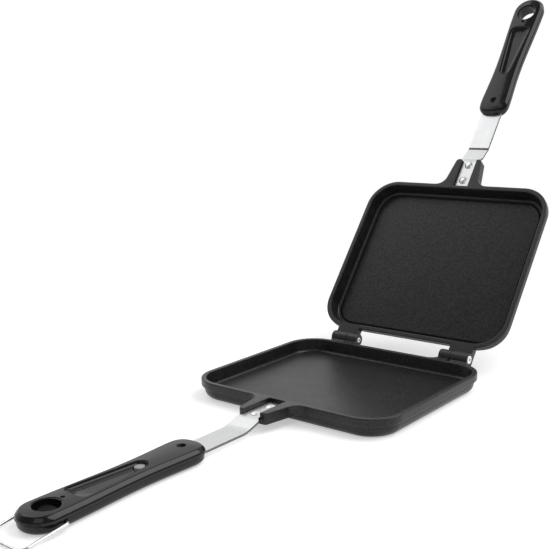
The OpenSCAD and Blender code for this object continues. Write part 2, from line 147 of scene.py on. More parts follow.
class Sheet:
    """A node tree with short ways to add nodes and join them."""

    def __init__(self, tree: bpy.types.NodeTree) -> None:
        """Take the tree to work in."""
        self.tree = tree

    def add(
        self, kind: str, inputs: dict[str | int, object] | None = None, **settings: object
    ) -> bpy.types.Node:
        """Add a node, set its properties, and set or link its inputs.

        Args:
            kind: Node type name.
            inputs: Values, or output sockets to link, by input name or number.
            **settings: Properties of the node.

        Returns:
            The new node.
        """
        node = self.tree.nodes.new(kind)
        for name, value in settings.items():
            setattr(node, name, value)
        for key, value in (inputs or {}).items():
            if isinstance(value, Socket):
                self.tree.links.new(value, node.inputs[key])
            else:
                node.inputs[key].default_value = value
        return node

    def math(self, operation: str, a: object, b: object = 0.0, clamp: bool = False) -> Socket:
        """Return the output of a Math node.

        Args:
            operation: Name of the operation.
            a: First value or socket.
            b: Second value or socket.
            clamp: Whether the result is kept from 0 to 1.

        Returns:
            Output socket.
        """
        inputs = {0: a, 1: b}
        return self.add("ShaderNodeMath", inputs, operation=operation, use_clamp=clamp).outputs[0]

    def vector(self, operation: str, a: Socket, b: Point3, output: str = "Value") -> Socket:
        """Return an output of a Vector Math node.

        Args:
            operation: Name of the operation.
            a: First vector.
            b: Second vector.
            output: Name of the output.

        Returns:
            Output socket.
        """
        return self.add("ShaderNodeVectorMath", {0: a, 1: b}, operation=operation).outputs[output]

    def axes(self, vector: Socket) -> Sockets:
        """Return the three parts of a vector."""
        return self.add("ShaderNodeSeparateXYZ", {0: vector}).outputs

    def noise(
        self, vector: Socket, scale: object, detail: float, rough: float = 0.5, bend: float = 0.0
    ) -> Socket:
        """Return the height of a noise texture.

        Args:
            vector: Coordinates.
            scale: Scale value or socket.
            detail: Number of octaves.
            rough: Share of the finer octaves.
            bend: Distortion.

        Returns:
            Output socket, from 0 to 1.
        """
        inputs = {"Vector": vector, "Scale": scale, "Detail": detail}
        inputs |= {"Roughness": rough, "Distortion": bend}
        return self.add("ShaderNodeTexNoise", inputs).outputs["Fac"]

    def fit(
        self, value: Socket, span: Point2, to: Point2 = (0.0, 1.0), smooth: bool = False
    ) -> Socket:
        """Return a value carried from one span to another and kept inside it.

        Args:
            value: Socket to carry over.
            span: Span that it comes from.
            to: Span that it goes to.
            smooth: Whether the step eases in and out.

        Returns:
            Output socket.
        """
        kind = "SMOOTHSTEP" if smooth else "LINEAR"
        inputs = {"Value": value, "From Min": span[0], "From Max": span[1]}
        inputs |= {"To Min": to[0], "To Max": to[1]}
        return self.add("ShaderNodeMapRange", inputs, interpolation_type=kind).outputs["Result"]

    def mix(self, share: object, a: object, b: object) -> Socket:
        """Return a mix of two colours.

        Args:
            share: How much of b, from 0 to 1.
            a: First colour or socket.
            b: Second colour or socket.

        Returns:
            Colour output socket.
        """
        return self.add("ShaderNodeMix", {0: share, 6: a, 7: b}, data_type="RGBA").outputs[2]


def grey(value: float, warm: float = 0.0) -> tuple[float, float, float, float]:
    """Return a neutral colour, a little warmer or cooler by warm."""
    return (value * (1 + warm), value, value * (1 - warm), 1.0)


class EffectGroup:
    """A shader node group, built once and then placed in many materials."""

    title: str = ""
    takes: dict[str, float] = {}
    gives: tuple[str, ...] = ()

    def __init__(self) -> None:
        """Build the group's tree, with a vector and the kind's own numbers as its inputs."""
        self.tree = bpy.data.node_groups.new(self.title, "ShaderNodeTree")
        face = self.tree.interface
        face.new_socket("Vector", in_out="INPUT", socket_type="NodeSocketVector")
        for name, value in self.takes.items():
            made = face.new_socket(name, in_out="INPUT", socket_type="NodeSocketFloat")
            made.default_value = value
        for name in self.gives:
            face.new_socket(name, in_out="OUTPUT", socket_type="NodeSocketFloat")
        sheet = Sheet(self.tree)
        results = self.fill(sheet, sheet.add("NodeGroupInput").outputs)
        sheet.add("NodeGroupOutput", dict(zip(self.gives, results)))

    def fill(self, sheet: Sheet, source: Sockets) -> tuple[Socket, Socket]:
        """Add the group's nodes.

        Args:
            sheet: The group's tree.
            source: Outputs of the group's input node.

        Returns:
            A socket for each output of the group.
        """
        raise NotImplementedError

    def place(self, sheet: Sheet, vector: Socket, values: Point2) -> Sockets:
        """Add this group to a material.

        Args:
            sheet: The material's tree.
            vector: Coordinates.
            values: The group's numbers, in the order of takes.

        Returns:
            The group's outputs.
        """
        inputs = {"Vector": vector, **dict(zip(self.takes, values))}
        return sheet.add("ShaderNodeGroup", inputs, node_tree=self.tree).outputs


class CastGrain(EffectGroup):
    """Fine grain of a sprayed or moulded skin: a height, and pale and dark specks."""

    title = "CastGrain"
    takes = {"Grain": 1.6, "Pits": 0.5}
    gives = ("Height", "Speck")
    pit_span = (0.1, 0.6)
    speck_span = (0.36, 0.66)

    def fill(self, sheet: Sheet, source: Sockets) -> tuple[Socket, Socket]:
        """Add fine noise with rounded cells between its grains.

        Args:
            sheet: The group's tree.
            source: Outputs of the group's input node.

        Returns:
            The height and the specks.
        """
        noise = sheet.noise(source["Vector"], source["Grain"], 3.0, 0.62)
        inputs = {"Vector": source["Vector"], "Scale": source["Grain"]}
        cells = sheet.add("ShaderNodeTexVoronoi", inputs, feature="SMOOTH_F1").outputs["Distance"]
        pits = sheet.math("MULTIPLY", sheet.fit(cells, self.pit_span), source["Pits"])
        return sheet.math("ADD", noise, pits), sheet.fit(noise, self.speck_span)


class HandMarks(EffectGroup):
    """Soft smears and fine scratches that change how a surface shines."""

    title = "HandMarks"
    takes = {"Smear size": 0.03, "Scratch size": 0.5}
    gives = ("Smear", "Scratch")
    smear_span = (0.35, 0.68)
    scratch_span = (0.69, 0.74)
    tilt = (0.3, 0.2)
    turns = (0.5, 2.1)
    drawn_out = (1.0, 0.04, 1.0)

    def fill(self, sheet: Sheet, source: Sockets) -> tuple[Socket, Socket]:
        """Add a soft smear and two sets of thin crossing lines.

        Args:
            sheet: The group's tree.
            source: Outputs of the group's input node.

        Returns:
            The smear and the scratches.
        """
        smear = sheet.noise(source["Vector"], source["Smear size"], 4.0, 0.55, 0.8)
        lines = []
        for turn in self.turns:
            inputs = {"Vector": source["Vector"], "Rotation": (*self.tilt, turn)}
            inputs["Scale"] = self.drawn_out
            turned = sheet.add("ShaderNodeMapping", inputs).outputs["Vector"]
            streaks = sheet.noise(turned, source["Scratch size"], 2.0)
            lines.append(sheet.fit(streaks, self.scratch_span))
        return sheet.fit(smear, self.smear_span, smooth=True), sheet.math("MAXIMUM", *lines)


class BrushLines(EffectGroup):
    """Fine lines of a brushed or drawn metal, along y of the vector that it is given."""

    title = "BrushLines"
    takes = {"Fineness": 6.0, "Stretch": 0.03}
    gives = ("Height", "Tone")
    tone_span = (0.36, 0.64)
    broad_share = 0.22

    def fill(self, sheet: Sheet, source: Sockets) -> tuple[Socket, Socket]:
        """Add long thin noise at two sizes.

        Args:
            sheet: The group's tree.
            source: Outputs of the group's input node.

        Returns:
            The height and the tone.
        """
        x, y, z = sheet.axes(source["Vector"])
        along = sheet.math("MULTIPLY", y, source["Stretch"])
        drawn = sheet.add("ShaderNodeCombineXYZ", {0: x, 1: along, 2: z}).outputs[0]
        fine = sheet.noise(drawn, source["Fineness"], 3.0, 0.7)
        coarse = sheet.math("MULTIPLY", source["Fineness"], self.broad_share)
        broad = sheet.noise(drawn, coarse, 2.0)
        tone = sheet.math("MULTIPLY", sheet.math("ADD", fine, broad), 0.5)
        return fine, sheet.fit(tone, self.tone_span)


@dataclass(frozen=True)
class Effects:
    """The node groups that the finishes share."""

    grain: CastGrain = field(default_factory=CastGrain)
    marks: HandMarks = field(default_factory=HandMarks)
    brush: BrushLines = field(default_factory=BrushLines)


# ---- finishes ----


@dataclass(frozen=True)
class Ground:
    """What a pattern is laid on: a material's tree, a half's millimetres and the shared groups."""

    sheet: Sheet
    vector: Socket
    place: HalfPlace
    effects: Effects


@dataclass(frozen=True)
class Dressing:
    """A material as built for one half, with the record's slot that it stands for."""

    material: bpy.types.Material
    slot: str


@dataclass(frozen=True)
class Finish:
    """What all finishes share: names, plain shader values, tones and a relief.

    Shine is the span of the roughness. Relief is the share of the bump and its depth in
    millimetres.
    """

    title: str
    slot: str
    dark: float
    pale: float
    shine: Point2
    relief: Point2
    metallic: float = 0.0
    specular: float = 0.5

    def pattern(self, on: Ground) -> tuple[Socket, Socket, Socket]:
        """Lay the finish's pattern.

        Args:
            on: What it is laid on.

        Returns:
            Colour, roughness and height.
        """
        raise NotImplementedError

    def build(self, place: HalfPlace, effects: Effects) -> Dressing:
        """Build the finish for one half.

        Args:
            place: The half whose millimetres the pattern follows.
            effects: The shared node groups.

        Returns:
            The material with its slot.
        """
        material = bpy.data.materials.new(f"{self.title}_{place.half.value}")
        material.use_nodes = True
        material.node_tree.nodes.clear()
        sheet = Sheet(material.node_tree)
        inputs = {"Vector": sheet.add("ShaderNodeTexCoord").outputs["Object"]}
        inputs |= dict(zip(("Location", "Rotation", "Scale"), place.mapping()))
        vector = sheet.add("ShaderNodeMapping", inputs).outputs["Vector"]
        colour, rough, height = self.pattern(Ground(sheet, vector, place, effects))
        share, depth = self.relief
        inputs = {"Strength": share, "Distance": depth * MM, "Height": height}
        bump = sheet.add("ShaderNodeBump", inputs)
        inputs = {"Base Color": colour, "Roughness": rough, "Normal": bump.outputs["Normal"]}
        inputs |= {"Metallic": self.metallic, "Specular IOR Level": self.specular}
        shader = sheet.add("ShaderNodeBsdfPrincipled", inputs)
        sheet.add("ShaderNodeOutputMaterial", {"Surface": shader.outputs[0]})
        return Dressing(material, self.slot)


@dataclass(frozen=True)
class PanCoat(Finish):
    """Dark satin non-stick coat, fine grained, and paler on the rim face where the halves meet."""

    title: str = "pan_coat"
    slot: str = "pan_coat"
    specular: float = 0.33
    dark: float = 0.002
    pale: float = 0.022
    shine: Point2 = (0.3, 0.35)
    relief: Point2 = (0.45, 0.12)
    grain: Point2 = (0.8, 0.35)
    marks: Point2 = (0.035, 0.35)
    # Tone of the faint scratches and of the paler rim face.
    wear_and_painted_light: float = 0.06
    rim_paler: float = 0.4
    scratched: float = 0.1
    rim_level: Point2 = (-0.4, -0.1)

    def pattern(self, on: Ground) -> tuple[Socket, Socket, Socket]:
        """Lay grain, a paler rim face and faint scratches.

        Args:
            on: What it is laid on.

        Returns:
            Colour, roughness and height.
        """
        sheet = on.sheet
        grain = on.effects.grain.place(sheet, on.vector, self.grain)
        marks = on.effects.marks.place(sheet, on.vector, self.marks)
        colour = sheet.mix(grain["Speck"], grey(self.dark), grey(self.pale))
        # The rim face is mixed towards the paler tone.
        rim = sheet.fit(sheet.axes(on.vector)[2], self.rim_level, (0.0, self.rim_paler), smooth=True)
        wear_and_painted_light = sheet.math("MAXIMUM", rim, sheet.math("MULTIPLY", marks["Scratch"], self.scratched))
        colour = sheet.mix(wear_and_painted_light, colour, grey(self.wear_and_painted_light))
        return colour, sheet.fit(marks["Smear"], (0.0, 1.0), self.shine), grain["Height"]


@dataclass(frozen=True)
class BrightSteel(Finish):
    """Bright steel, brushed along its length, and darker where a kind's mask of wear and painted
    shade says so.
    """

    title: str = "bright_steel"
    slot: str = "strap_steel"
    metallic: float = 1.0
    dark: float = 0.72
    pale: float = 0.80
    # Dark tone of wear and of painted shade.
    wear_and_shade_tone: float = 0.06
    shine: Point2 = (0.2, 0.26)
    relief: Point2 = (0.06, 0.02)
    lines: Point2 = (5.0, 0.025)
    marks: Point2 = (0.06, 0.6)

    def wear_and_painted_light(self, on: Ground) -> Socket | None:
        """Return where the steel is darker from wear and painted shade, from 0 to 1, or None for
        nowhere.
        """
        return None

    def pattern(self, on: Ground) -> tuple[Socket, Socket, Socket]:
        """Lay brushed lines, smears and the darker places of wear and painted shade.

        Args:
            on: What it is laid on.

        Returns:
            Colour, roughness and height.
        """
        sheet = on.sheet
        lines = on.effects.brush.place(sheet, on.vector, self.lines)
        marks = on.effects.marks.place(sheet, on.vector, self.marks)
        colour = sheet.mix(lines["Tone"], grey(self.dark, -0.01), grey(self.pale, -0.005))
        # Mixed towards a dark tone: real wear at sheared edges, plus painted shade and dark
        # reflections where a kind adds them.
        wear_and_painted_light = self.wear_and_painted_light(on)
        if wear_and_painted_light is not None:
            colour = sheet.mix(wear_and_painted_light, colour, grey(self.wear_and_shade_tone))
        shine = sheet.math("MULTIPLY", sheet.math("ADD", marks["Smear"], lines["Tone"]), 0.5)
        return colour, sheet.fit(shine, (0.0, 1.0), self.shine), lines["Height"]


@dataclass(frozen=True)
class StrapSteel(BrightSteel):
    """Steel strip with darker sheared edges, and painted dark reflection lines at the upper strap's
    tight bends.
    """

    title: str = "strap_steel"
    shine: Point2 = (0.3, 0.36)
    sheared: float = 0.85
    edge_turn: Point2 = (0.5, 0.85)
    # Painted dark reflection lines: the reach of each bend, and how dark its line is.
    bend_dark_reflections: tuple[Point2, ...] = ((24.2, 0.3), (37.8, 0.97))
    bend_reflection_half: Point2 = (0.8, 1.4)

    def wear_and_painted_light(self, on: Ground) -> Socket:
        """Return where the strip is sheared, and the painted dark reflection lines at its bends.

        Args:
            on: What the pattern is laid on.

        Returns:
            Mask from 0 to 1.
        """
        sheet = on.sheet
        normal = sheet.add("ShaderNodeNewGeometry").outputs["Normal"]
        sideways = sheet.math("ABSOLUTE", sheet.axes(normal)[0])
        wear_and_painted_light = sheet.math(
            "MULTIPLY", sheet.fit(sideways, self.edge_turn, smooth=True), self.sheared
        )
        reach = sheet.math("SUBTRACT", on.place.front_y, sheet.axes(on.vector)[1])
        # Painted dark reflection: a dark band across the upper strap at each tight bend, where the
        # bend mirrors something dark.
        for bend, depth in self.bend_dark_reflections if on.place.half is Half.LID else ():
            off = sheet.math("ABSOLUTE", sheet.math("SUBTRACT", reach, bend))
            bend_reflection = sheet.fit(off, self.bend_reflection_half, (depth, 0.0), smooth=True)
            wear_and_painted_light = sheet.math("MAXIMUM", wear_and_painted_light, bend_reflection)
        return wear_and_painted_light


@dataclass(frozen=True)
class RivetSteel(BrightSteel):
    """Polished steel of rivets and pins, with light marks of the setting tool."""

    title: str = "rivet_steel"
    slot: str = "rivet_steel"
    dark: float = 0.8
    pale: float = 0.88
    shine: Point2 = (0.28, 0.36)
    relief: Point2 = (0.03, 0.02)


@dataclass(frozen=True)
class PinSteel(RivetSteel):
    """Rivet steel with painted shade in the punch mark on the hinge's axis."""

    title: str = "pin_steel"
    # Painted shade fills the punch mark out to these radii, full to none.
    punch_shade_r: Point2 = (0.75, 1.0)

    def wear_and_painted_light(self, on: Ground) -> Socket:
        """Return the painted shade in the punch mark.

        Args:
            on: What the pattern is laid on.

        Returns:
            Mask from 0 to 1.
        """
        flat = on.sheet.vector("MULTIPLY", on.vector, (0.0, 1.0, 1.0), "Vector")
        axis = (0.0, on.place.axis_y, on.place.axis_lift)
        off = on.sheet.vector("DISTANCE", flat, axis)
        return on.sheet.fit(off, self.punch_shade_r, (1.0, 0.0), smooth=True)


@dataclass(frozen=True)
class PinShadeSteel(BrightSteel):
    """Steel of the pins across the grips, painted dark as the shade in their wells."""

    title: str = "pin_shade_steel"
    slot: str = "rivet_steel"
    # Painted shade: near-black steel stands in for the shade in the pins' wells.
    dark: float = 0.02
    pale: float = 0.04
    shine: Point2 = (0.4, 0.5)


@dataclass(frozen=True)
class WireSteel(BrightSteel):
    """Drawn bright wire."""

    title: str = "wire_steel"
    slot: str = "wire_steel"
    dark: float = 0.62
    shine: Point2 = (0.18, 0.3)


@dataclass(frozen=True)
class HandlePlastic(Finish):
    """Glossy black moulding with a slight ripple, dust and fine scratches."""

    title: str = "handle_plastic"
    slot: str = "handle_plastic"
    specular: float = 0.33
    dark: float = 0.0025
    pale: float = 0.006
    shine: Point2 = (0.09, 0.15)
    relief: Point2 = (0.03, 0.08)
    ripple: Point2 = (0.35, 0.2)
    marks: Point2 = (0.05, 0.55)
    scratched: float = 0.6

    def pattern(self, on: Ground) -> tuple[Socket, Socket, Socket]:
        """Lay a ripple, smears and scratches.

        Args:
            on: What it is laid on.

        Returns:
            Colour, roughness and height.
        """
        sheet = on.sheet
        ripple = on.effects.grain.place(sheet, on.vector, self.ripple)
        marks = on.effects.marks.place(sheet, on.vector, self.marks)
        scratch = sheet.math("MULTIPLY", marks["Scratch"], self.scratched)
        wear = sheet.math("ADD", marks["Smear"], scratch, clamp=True)
        colour = sheet.mix(ripple["Speck"], grey(self.dark), grey(self.pale))
        return colour, sheet.fit(wear, (0.0, 1.0), self.shine), ripple["Height"]


@dataclass(frozen=True)
class ButtonPaintedHighlight(Finish):
    """Disc painted pale grey as a highlight, for the light that its crowned top of black plastic
    catches; matt and finely grained.
    """

    title: str = "button_plastic"
    slot: str = "button_plastic"
    # Painted highlight: pale grey stands in for the light on a black disc.
    dark: float = 0.28
    pale: float = 0.38
    shine: Point2 = (0.4, 0.55)
    relief: Point2 = (0.3, 0.04)
    grain: Point2 = (2.5, 0.4)

    def pattern(self, on: Ground) -> tuple[Socket, Socket, Socket]:
        """Lay a fine grain.

        Args:
            on: What it is laid on.

        Returns:
            Colour, roughness and height.
        """
        grain = on.effects.grain.place(on.sheet, on.vector, self.grain)
        colour = on.sheet.mix(grain["Speck"], grey(self.dark), grey(self.pale))
        return colour, on.sheet.fit(grain["Speck"], (0.0, 1.0), self.shine), grain["Height"]


# ---- shaping ----


def arc(centre: Point2, radius: float, start: float, end: float, steps: int) -> list[Point2]:
    """Return points on an arc.

    Args:
        centre: Middle of the arc.
        radius: Its radius.
        start: First angle in degrees.
        end: Last angle in degrees.
        steps: Number of chords.

    Returns:
        The points, from the first angle to the last.
    """
    turns = (math.radians(start + (end - start) * i / steps) for i in range(steps + 1))
    return [(centre[0] + radius * math.cos(a), centre[1] + radius * math.sin(a)) for a in turns]


def mirrored(points: Sequence[Point2]) -> list[Point2]:
    """Return an outline's points followed by their mirror images in x."""
    return [*points, *((-x, y) for x, y in reversed(points))]


def drum(radius: float, top: float, low: float) -> list[Point2]:
    """Return the profile of a plain round cutter, as radius and height."""
    return [(0.0, top), (radius, top), (radius, low), (0.0, low)]


class Joining(Enum):
    """How a tool shape meets a base shape."""

    ADD = "UNION"
    TAKE = "DIFFERENCE"


class Shape:
    """A closed mesh in a half's millimetres, shaped step by step."""

    def __init__(self) -> None:
        """Start from nothing."""
        self.bm = bmesh.new()

    def cap(self) -> Shape:
        """Fill the open ends.

        Returns:
            This shape.
        """
        ends = [edge for edge in self.bm.edges if edge.is_boundary]
        if ends:
            bmesh.ops.holes_fill(self.bm, edges=ends, sides=0)
        return self

    def outward(self) -> Shape:
        """Merge doubled points and turn all faces outward.

        Returns:
            This shape.
        """
        bmesh.ops.remove_doubles(self.bm, verts=self.bm.verts[:], dist=NEAR)
        bmesh.ops.recalc_face_normals(self.bm, faces=self.bm.faces[:])
        return self

    def move(self, matrix: Matrix) -> Shape:
        """Carry the whole shape through a matrix."""
        bmesh.ops.transform(self.bm, matrix=matrix, verts=self.bm.verts[:])
        return self

    @classmethod
    def prism(cls, outline: Sequence[Point2], low: float, high: float, ease: float = 0.0) -> Shape:
        """Extrude an outline along z and ease the edges of its two ends.

        Args:
            outline: Points in x and y.
            low: Lower end.
            high: Upper end.
            ease: Radius of the eased edges.

        Returns:
            The shape.
        """
        shape = cls()
        bm = shape.bm
        face = bm.faces.new([bm.verts.new((x, y, low)) for x, y in outline])
        made = bmesh.ops.extrude_face_region(bm, geom=[face])["geom"]
        top = [item for item in made if isinstance(item, bmesh.types.BMVert)]
        bmesh.ops.translate(bm, vec=(0, 0, high - low), verts=top)
        shape.cap().outward()
        if ease:
            rims = [e for e in bm.edges if abs(e.verts[0].co.z - e.verts[1].co.z) < 1e-6]
            bmesh.ops.bevel(
                bm, geom=rims, offset=ease, offset_type="OFFSET", segments=3,
                profile=0.5, affect="EDGES", material=-1, clamp_overlap=True,
            )
        return shape

    @classmethod
    def across(cls, outline: Sequence[Point2], low: float, high: float, ease: float = 0.0) -> Shape:
        """Extrude an outline of y and z along x, with the same sizes as prism."""
        turn = Matrix(((0, 0, 1, 0), (1, 0, 0, 0), (0, 1, 0, 0), (0, 0, 0, 1)))
        return cls.prism(outline, low, high, ease).move(turn)

    @classmethod
    def loft(cls, rings: Sequence[Sequence[Point3]]) -> Shape:
        """Pull a ring of points along through the rings that follow it, and fill both ends.

        Args:
            rings: Rings with as many points each, in the same order.

        Returns:
            The shape.
        """
        shape = cls()
        bm = shape.bm
        ring = bmesh.ops.create_circle(bm, segments=len(rings[0]), radius=1.0)["verts"]
        for vert, place in zip(ring, rings[0]):
            vert.co = place
        edges = bm.edges[:]
        for places in rings[1:]:
            number = {vert: i for i, vert in enumerate(ring)}
            made = bmesh.ops.extrude_edge_only(bm, edges=edges)["geom"]
            fresh = [item for item in made if isinstance(item, bmesh.types.BMVert)]
            for vert in fresh:
                ends = (edge.other_vert(vert) for edge in vert.link_edges)
                before = next(end for end in ends if end in number)
                ring[number[before]] = vert
                vert.co = places[number[before]]
            grown = set(fresh)
            edges = [
                item for item in made
                if isinstance(item, bmesh.types.BMEdge) and grown.issuperset(item.verts)
            ]
        return shape.cap().outward()

    @classmethod
    def turned(cls, profile: Sequence[Point2], reach: float = 0.0, steps: int = 56) -> Shape:
        """Spin a profile of radius and height round an upright axis.

        Args:
            profile: Points from the axis out and back to the axis.
            reach: Where the axis stands.
            steps: Number of steps in the full turn.

        Returns:
            The shape.
        """
        shape = cls()
        bm = shape.bm
        verts = [bm.verts.new((r, 0.0, z)) for r, z in profile]
        edges = [bm.edges.new(pair) for pair in zip(verts, verts[1:])]
        bmesh.ops.spin(
            bm, geom=[*verts, *edges], cent=(0, 0, 0), axis=(0, 0, 1),
            angle=math.tau, steps=steps, use_merge=True,
        )
        return shape.outward().move(Matrix.Translation((0, reach, 0)))

    def object(self, name: str) -> bpy.types.Object:
        """Make an object of the shape in the scene and let go of the working mesh.

        Args:
            name: Its name.

        Returns:
            The object.
        """
        mesh = bpy.data.meshes.new(name)
        self.bm.to_mesh(mesh)
        self.bm.free()
        return put(name, mesh)

    def join(self, tool: Shape, joining: Joining = Joining.ADD) -> Shape:
        """Add another shape to this one, or take it away.

        Args:
            tool: The other shape, which is used up.
            joining: Whether it is added or taken away.

        Returns:
            This shape.
        """
        base, other = self.object("work"), tool.object("tool")
        modifier = base.modifiers.new("join", "BOOLEAN")
        modifier.operation = joining.value
        modifier.solver = "EXACT"
        modifier.object = other
        self.bm = bmesh.new()
        self.bm.from_object(base, bpy.context.evaluated_depsgraph_get())
        for used in (base, other):
            mesh = used.data
            bpy.data.objects.remove(used)
            bpy.data.meshes.remove(mesh)
        return self

    def pair(self) -> Shape:
        """Add the shape's mirror image in x, which has to lie clear of it.

        Returns:
            This shape.
        """
        geom = [*self.bm.verts, *self.bm.edges, *self.bm.faces]
        twin = bmesh.ops.duplicate(self.bm, geom=geom)["geom"]
        verts = [item for item in twin if isinstance(item, bmesh.types.BMVert)]
        bmesh.ops.scale(self.bm, vec=(-1, 1, 1), verts=verts)
        bmesh.ops.recalc_face_normals(self.bm, faces=self.bm.faces[:])
        return self


@dataclass(frozen=True)
class Part:
    """A piece of a half that stands for a CAD node, drawn as x, reach and z.

    Its name is the node's with an ending. Sharp is the angle in degrees past which an edge
    stays sharp.
    """

    place: HalfPlace
    ending: str = ""
    sharp: float = 32.0

    def shape(self) -> Shape:
        """Return the piece's closed mesh."""
        raise NotImplementedError

    def frame(self) -> Matrix:
        """Return the matrix from the mesh's millimetres to the row frame's metres."""
        return self.place.matrix() @ self.place.forward()

    def body(self) -> str:
        """Return the CAD body that the piece rides on."""
        return self.place.half.value

    def build(self, node: str, finish: Dressing) -> None:
        """Build the piece, with its normals weighted by face area, and dress it.

        Args:
            node: The CAD node that it stands for.
            finish: Its material and slot.
        """
        name, body = f"{node}_{self.ending}", self.body()
        shape = self.shape().move(self.frame())
        bmesh.ops.remove_doubles(shape.bm, verts=shape.bm.verts[:], dist=NEAR * MM)
        bmesh.ops.dissolve_degenerate(shape.bm, edges=shape.bm.edges[:], dist=NEAR * MM)
        bmesh.ops.recalc_face_normals(shape.bm, faces=shape.bm.faces[:])
        piece = shape.object(name)
        piece.data.shade_smooth()
        piece.data.set_sharp_from_angle(angle=math.radians(self.sharp))
        piece.modifiers.new("weights", "WEIGHTED_NORMAL").keep_sharp = True
        seen = piece.evaluated_get(bpy.context.evaluated_depsgraph_get())
        baked = bpy.data.meshes.new_from_object(seen)
        piece.modifiers.clear()
        piece.data = baked
        baked.name = name
        baked.materials.clear()
        baked.materials.append(finish.material)
        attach(piece, body)
        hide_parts(node)
        log.info("%s: %d faces, %s", name, len(baked.polygons), finish.material.name)


# ---- the iron's sub-assemblies ----


@dataclass(frozen=True)
class PanCasting(Part):
    """One cast pan: a tray with a rim flange, a forked lug in front and its hinge parts.

    It is drawn in the half's own millimetres, not by reach. The slot's mouth is given as heights
    with the ease of its edge there, and the plate's edge as how far it leans back and where.
    """

    ending: str = "casting"
    floor: float = 2.8
    half_x: float = 53.0
    half_y: float = 43.0
    height: float = 13.0
    rim_r: float = 22.0
    body_r: float = 20.0
    flange_h: float = 5.0
    edge_r: float = 0.7
    bottom_r: float = 6.0
    cavity_r: float = 18.6
    mouth_r: float = 0.75
    foot_x: float = 17.4
    foot_r: float = 2.2
    groove_w: float = 0.6
    groove_depth: float = 0.9
    groove_r: float = 0.5
    corner_steps: int = 22
    lug_len: float = 23.5
    lug_tip: float = 10.8
    lug_flank: float = 10.0
    lug_root_r: float = 8.0
    lug_tip_r: float = 2.6
    lug_h: float = 7.2
    lug_ease: float = 0.55
    rivet_r: float = 2.01
    slot_half: float = 6.3
    slot_floor: float = -4.5
    slot_start: float = -0.8
    slot_end: float = 40.0
    slot_mouth: tuple[Point2, ...] = (
        (-0.45, 0.0), (-0.2, 0.06), (-0.06, 0.2), (0.0, 0.42), (1.0, 0.42),
    )
    hole_low: float = -9.0
    sink: float = 3.0
    knuckle_r: float = 4.4
    arm_ease: float = 0.5
    fast_r: float = 2.02
    running_r: float = 2.08
    head_r: float = 3.4
    inner_x: float = 34.0
    split_x: float = 42.7
    knuckle_x: float = 43.0
    outer_x: float = 56.0
    head_x: float = 54.6
    plate_span: Point2 = (38.0, 45.0)
    plate_edge: Point2 = (0.6, 2.2)
    plate_ease: float = 0.4
    heel_gap: float = 0.3
    heel_extra: float = 0.6

    def frame(self) -> Matrix:
        """Return the matrix from the half's millimetres to the row frame's metres."""
        return self.place.matrix()

    def section(self) -> list[Point2]:
        """Return the tray's section as radius and height, from the raised floor out and under.

        Returns:
            The points in order.
        """
        deep = self.floor - self.height
        groove_x = self.foot_x - self.foot_r - self.groove_w
        plateau = groove_x - self.groove_depth
        round_r, low = self.edge_r, self.edge_r - self.flange_h
        return [
            (plateau - 0.45, deep + self.groove_depth),
            *arc((plateau - 0.3, deep + self.groove_depth - 0.7), 0.7, 78, 46, 3),
            *arc((groove_x + 0.15, deep + self.groove_r), self.groove_r, 226, 270, 3),
            *arc((self.foot_x - self.foot_r, deep + self.foot_r), self.foot_r, -90, 0, 9),
            (self.cavity_r - 0.12, -1.1),
            *arc((self.cavity_r + self.mouth_r, -self.mouth_r), self.mouth_r, 180, 90, 5),
            *arc((self.rim_r - round_r, -round_r), round_r, 90, 0, 5),
            *arc((self.rim_r - round_r, low), round_r, 0, -90, 5),
            *arc((self.body_r + 0.5, -self.flange_h - 0.5), 0.5, 90, 180, 3),
            *arc(
                (self.body_r - self.bottom_r, self.bottom_r - self.height),
                self.bottom_r, 0, -90, 12,
            ),
        ]

    def ring(self, radius: float, z: float) -> list[Point3]:
        """Return a ring round the pan at a distance from its corners' centres.

        Args:
            radius: Distance from the corners' centres.
            z: Height.

        Returns:
            The points in order.
        """
        points: list[Point3] = []
        for quarter, (side_x, side_y) in enumerate(((1, 1), (-1, 1), (-1, -1), (1, -1))):
            centre = (side_x * self.half_x, side_y * self.half_y)
            corner = arc(centre, radius, 90 * quarter, 90 * quarter + 90, self.corner_steps)
            points += [(x, y, z) for x, y in corner]
        return points

    def lug(self, root: float, low: float, whole: bool) -> Shape:
        """Return the lug, or only its root, with flanks that meet a wall on a round.

        Args:
            root: Reach of the wall that the flanks run into.
            low: Height of the underside.
            whole: Whether the arms follow the root.

        Returns:
            The shape.
        """
        flank, tip_r, root_r = math.radians(self.lug_flank), self.lug_tip_r, self.lug_root_r
        edge = self.lug_tip + (self.lug_len - tip_r - root) * math.tan(flank)
        root_x = edge + root_r / math.cos(flank) - root_r * math.tan(flank)
        half = [
            (root_x, -self.sink),
            *arc((root_x, root + root_r), root_r, 270, 180 + self.lug_flank, 12),
        ]
        if whole:
            tip = (self.lug_tip - tip_r, self.lug_len - tip_r)
            half += arc(tip, tip_r, self.lug_flank, 90, 6)
        shape = Shape.prism(mirrored(half), low, 0.0, self.lug_ease)
        return shape.move(self.place.forward()).outward()

    def slot(self) -> Shape:
        """Return the cutter of the strap's slot, with an eased mouth that runs past the lug.

        Returns:
            The cutter.
        """
        rings = []
        for z, ease in ((self.slot_floor, 0.0), *self.slot_mouth):
            half, near, far = self.slot_half + ease, self.slot_start - ease, self.slot_end
            rings.append([(half, near, z), (half, far, z), (-half, far, z), (-half, near, z)])
        return Shape.loft(rings).move(self.place.forward()).outward()

    def bar(self, radius: float, start: float, end: float) -> Shape:
        """Return a round bar along the hinge's axis, on both sides."""
        outline = arc((self.place.axis_y, self.place.axis_lift), radius, 0, 360, 48)[:-1]
        return Shape.across(outline, start, end).pair()

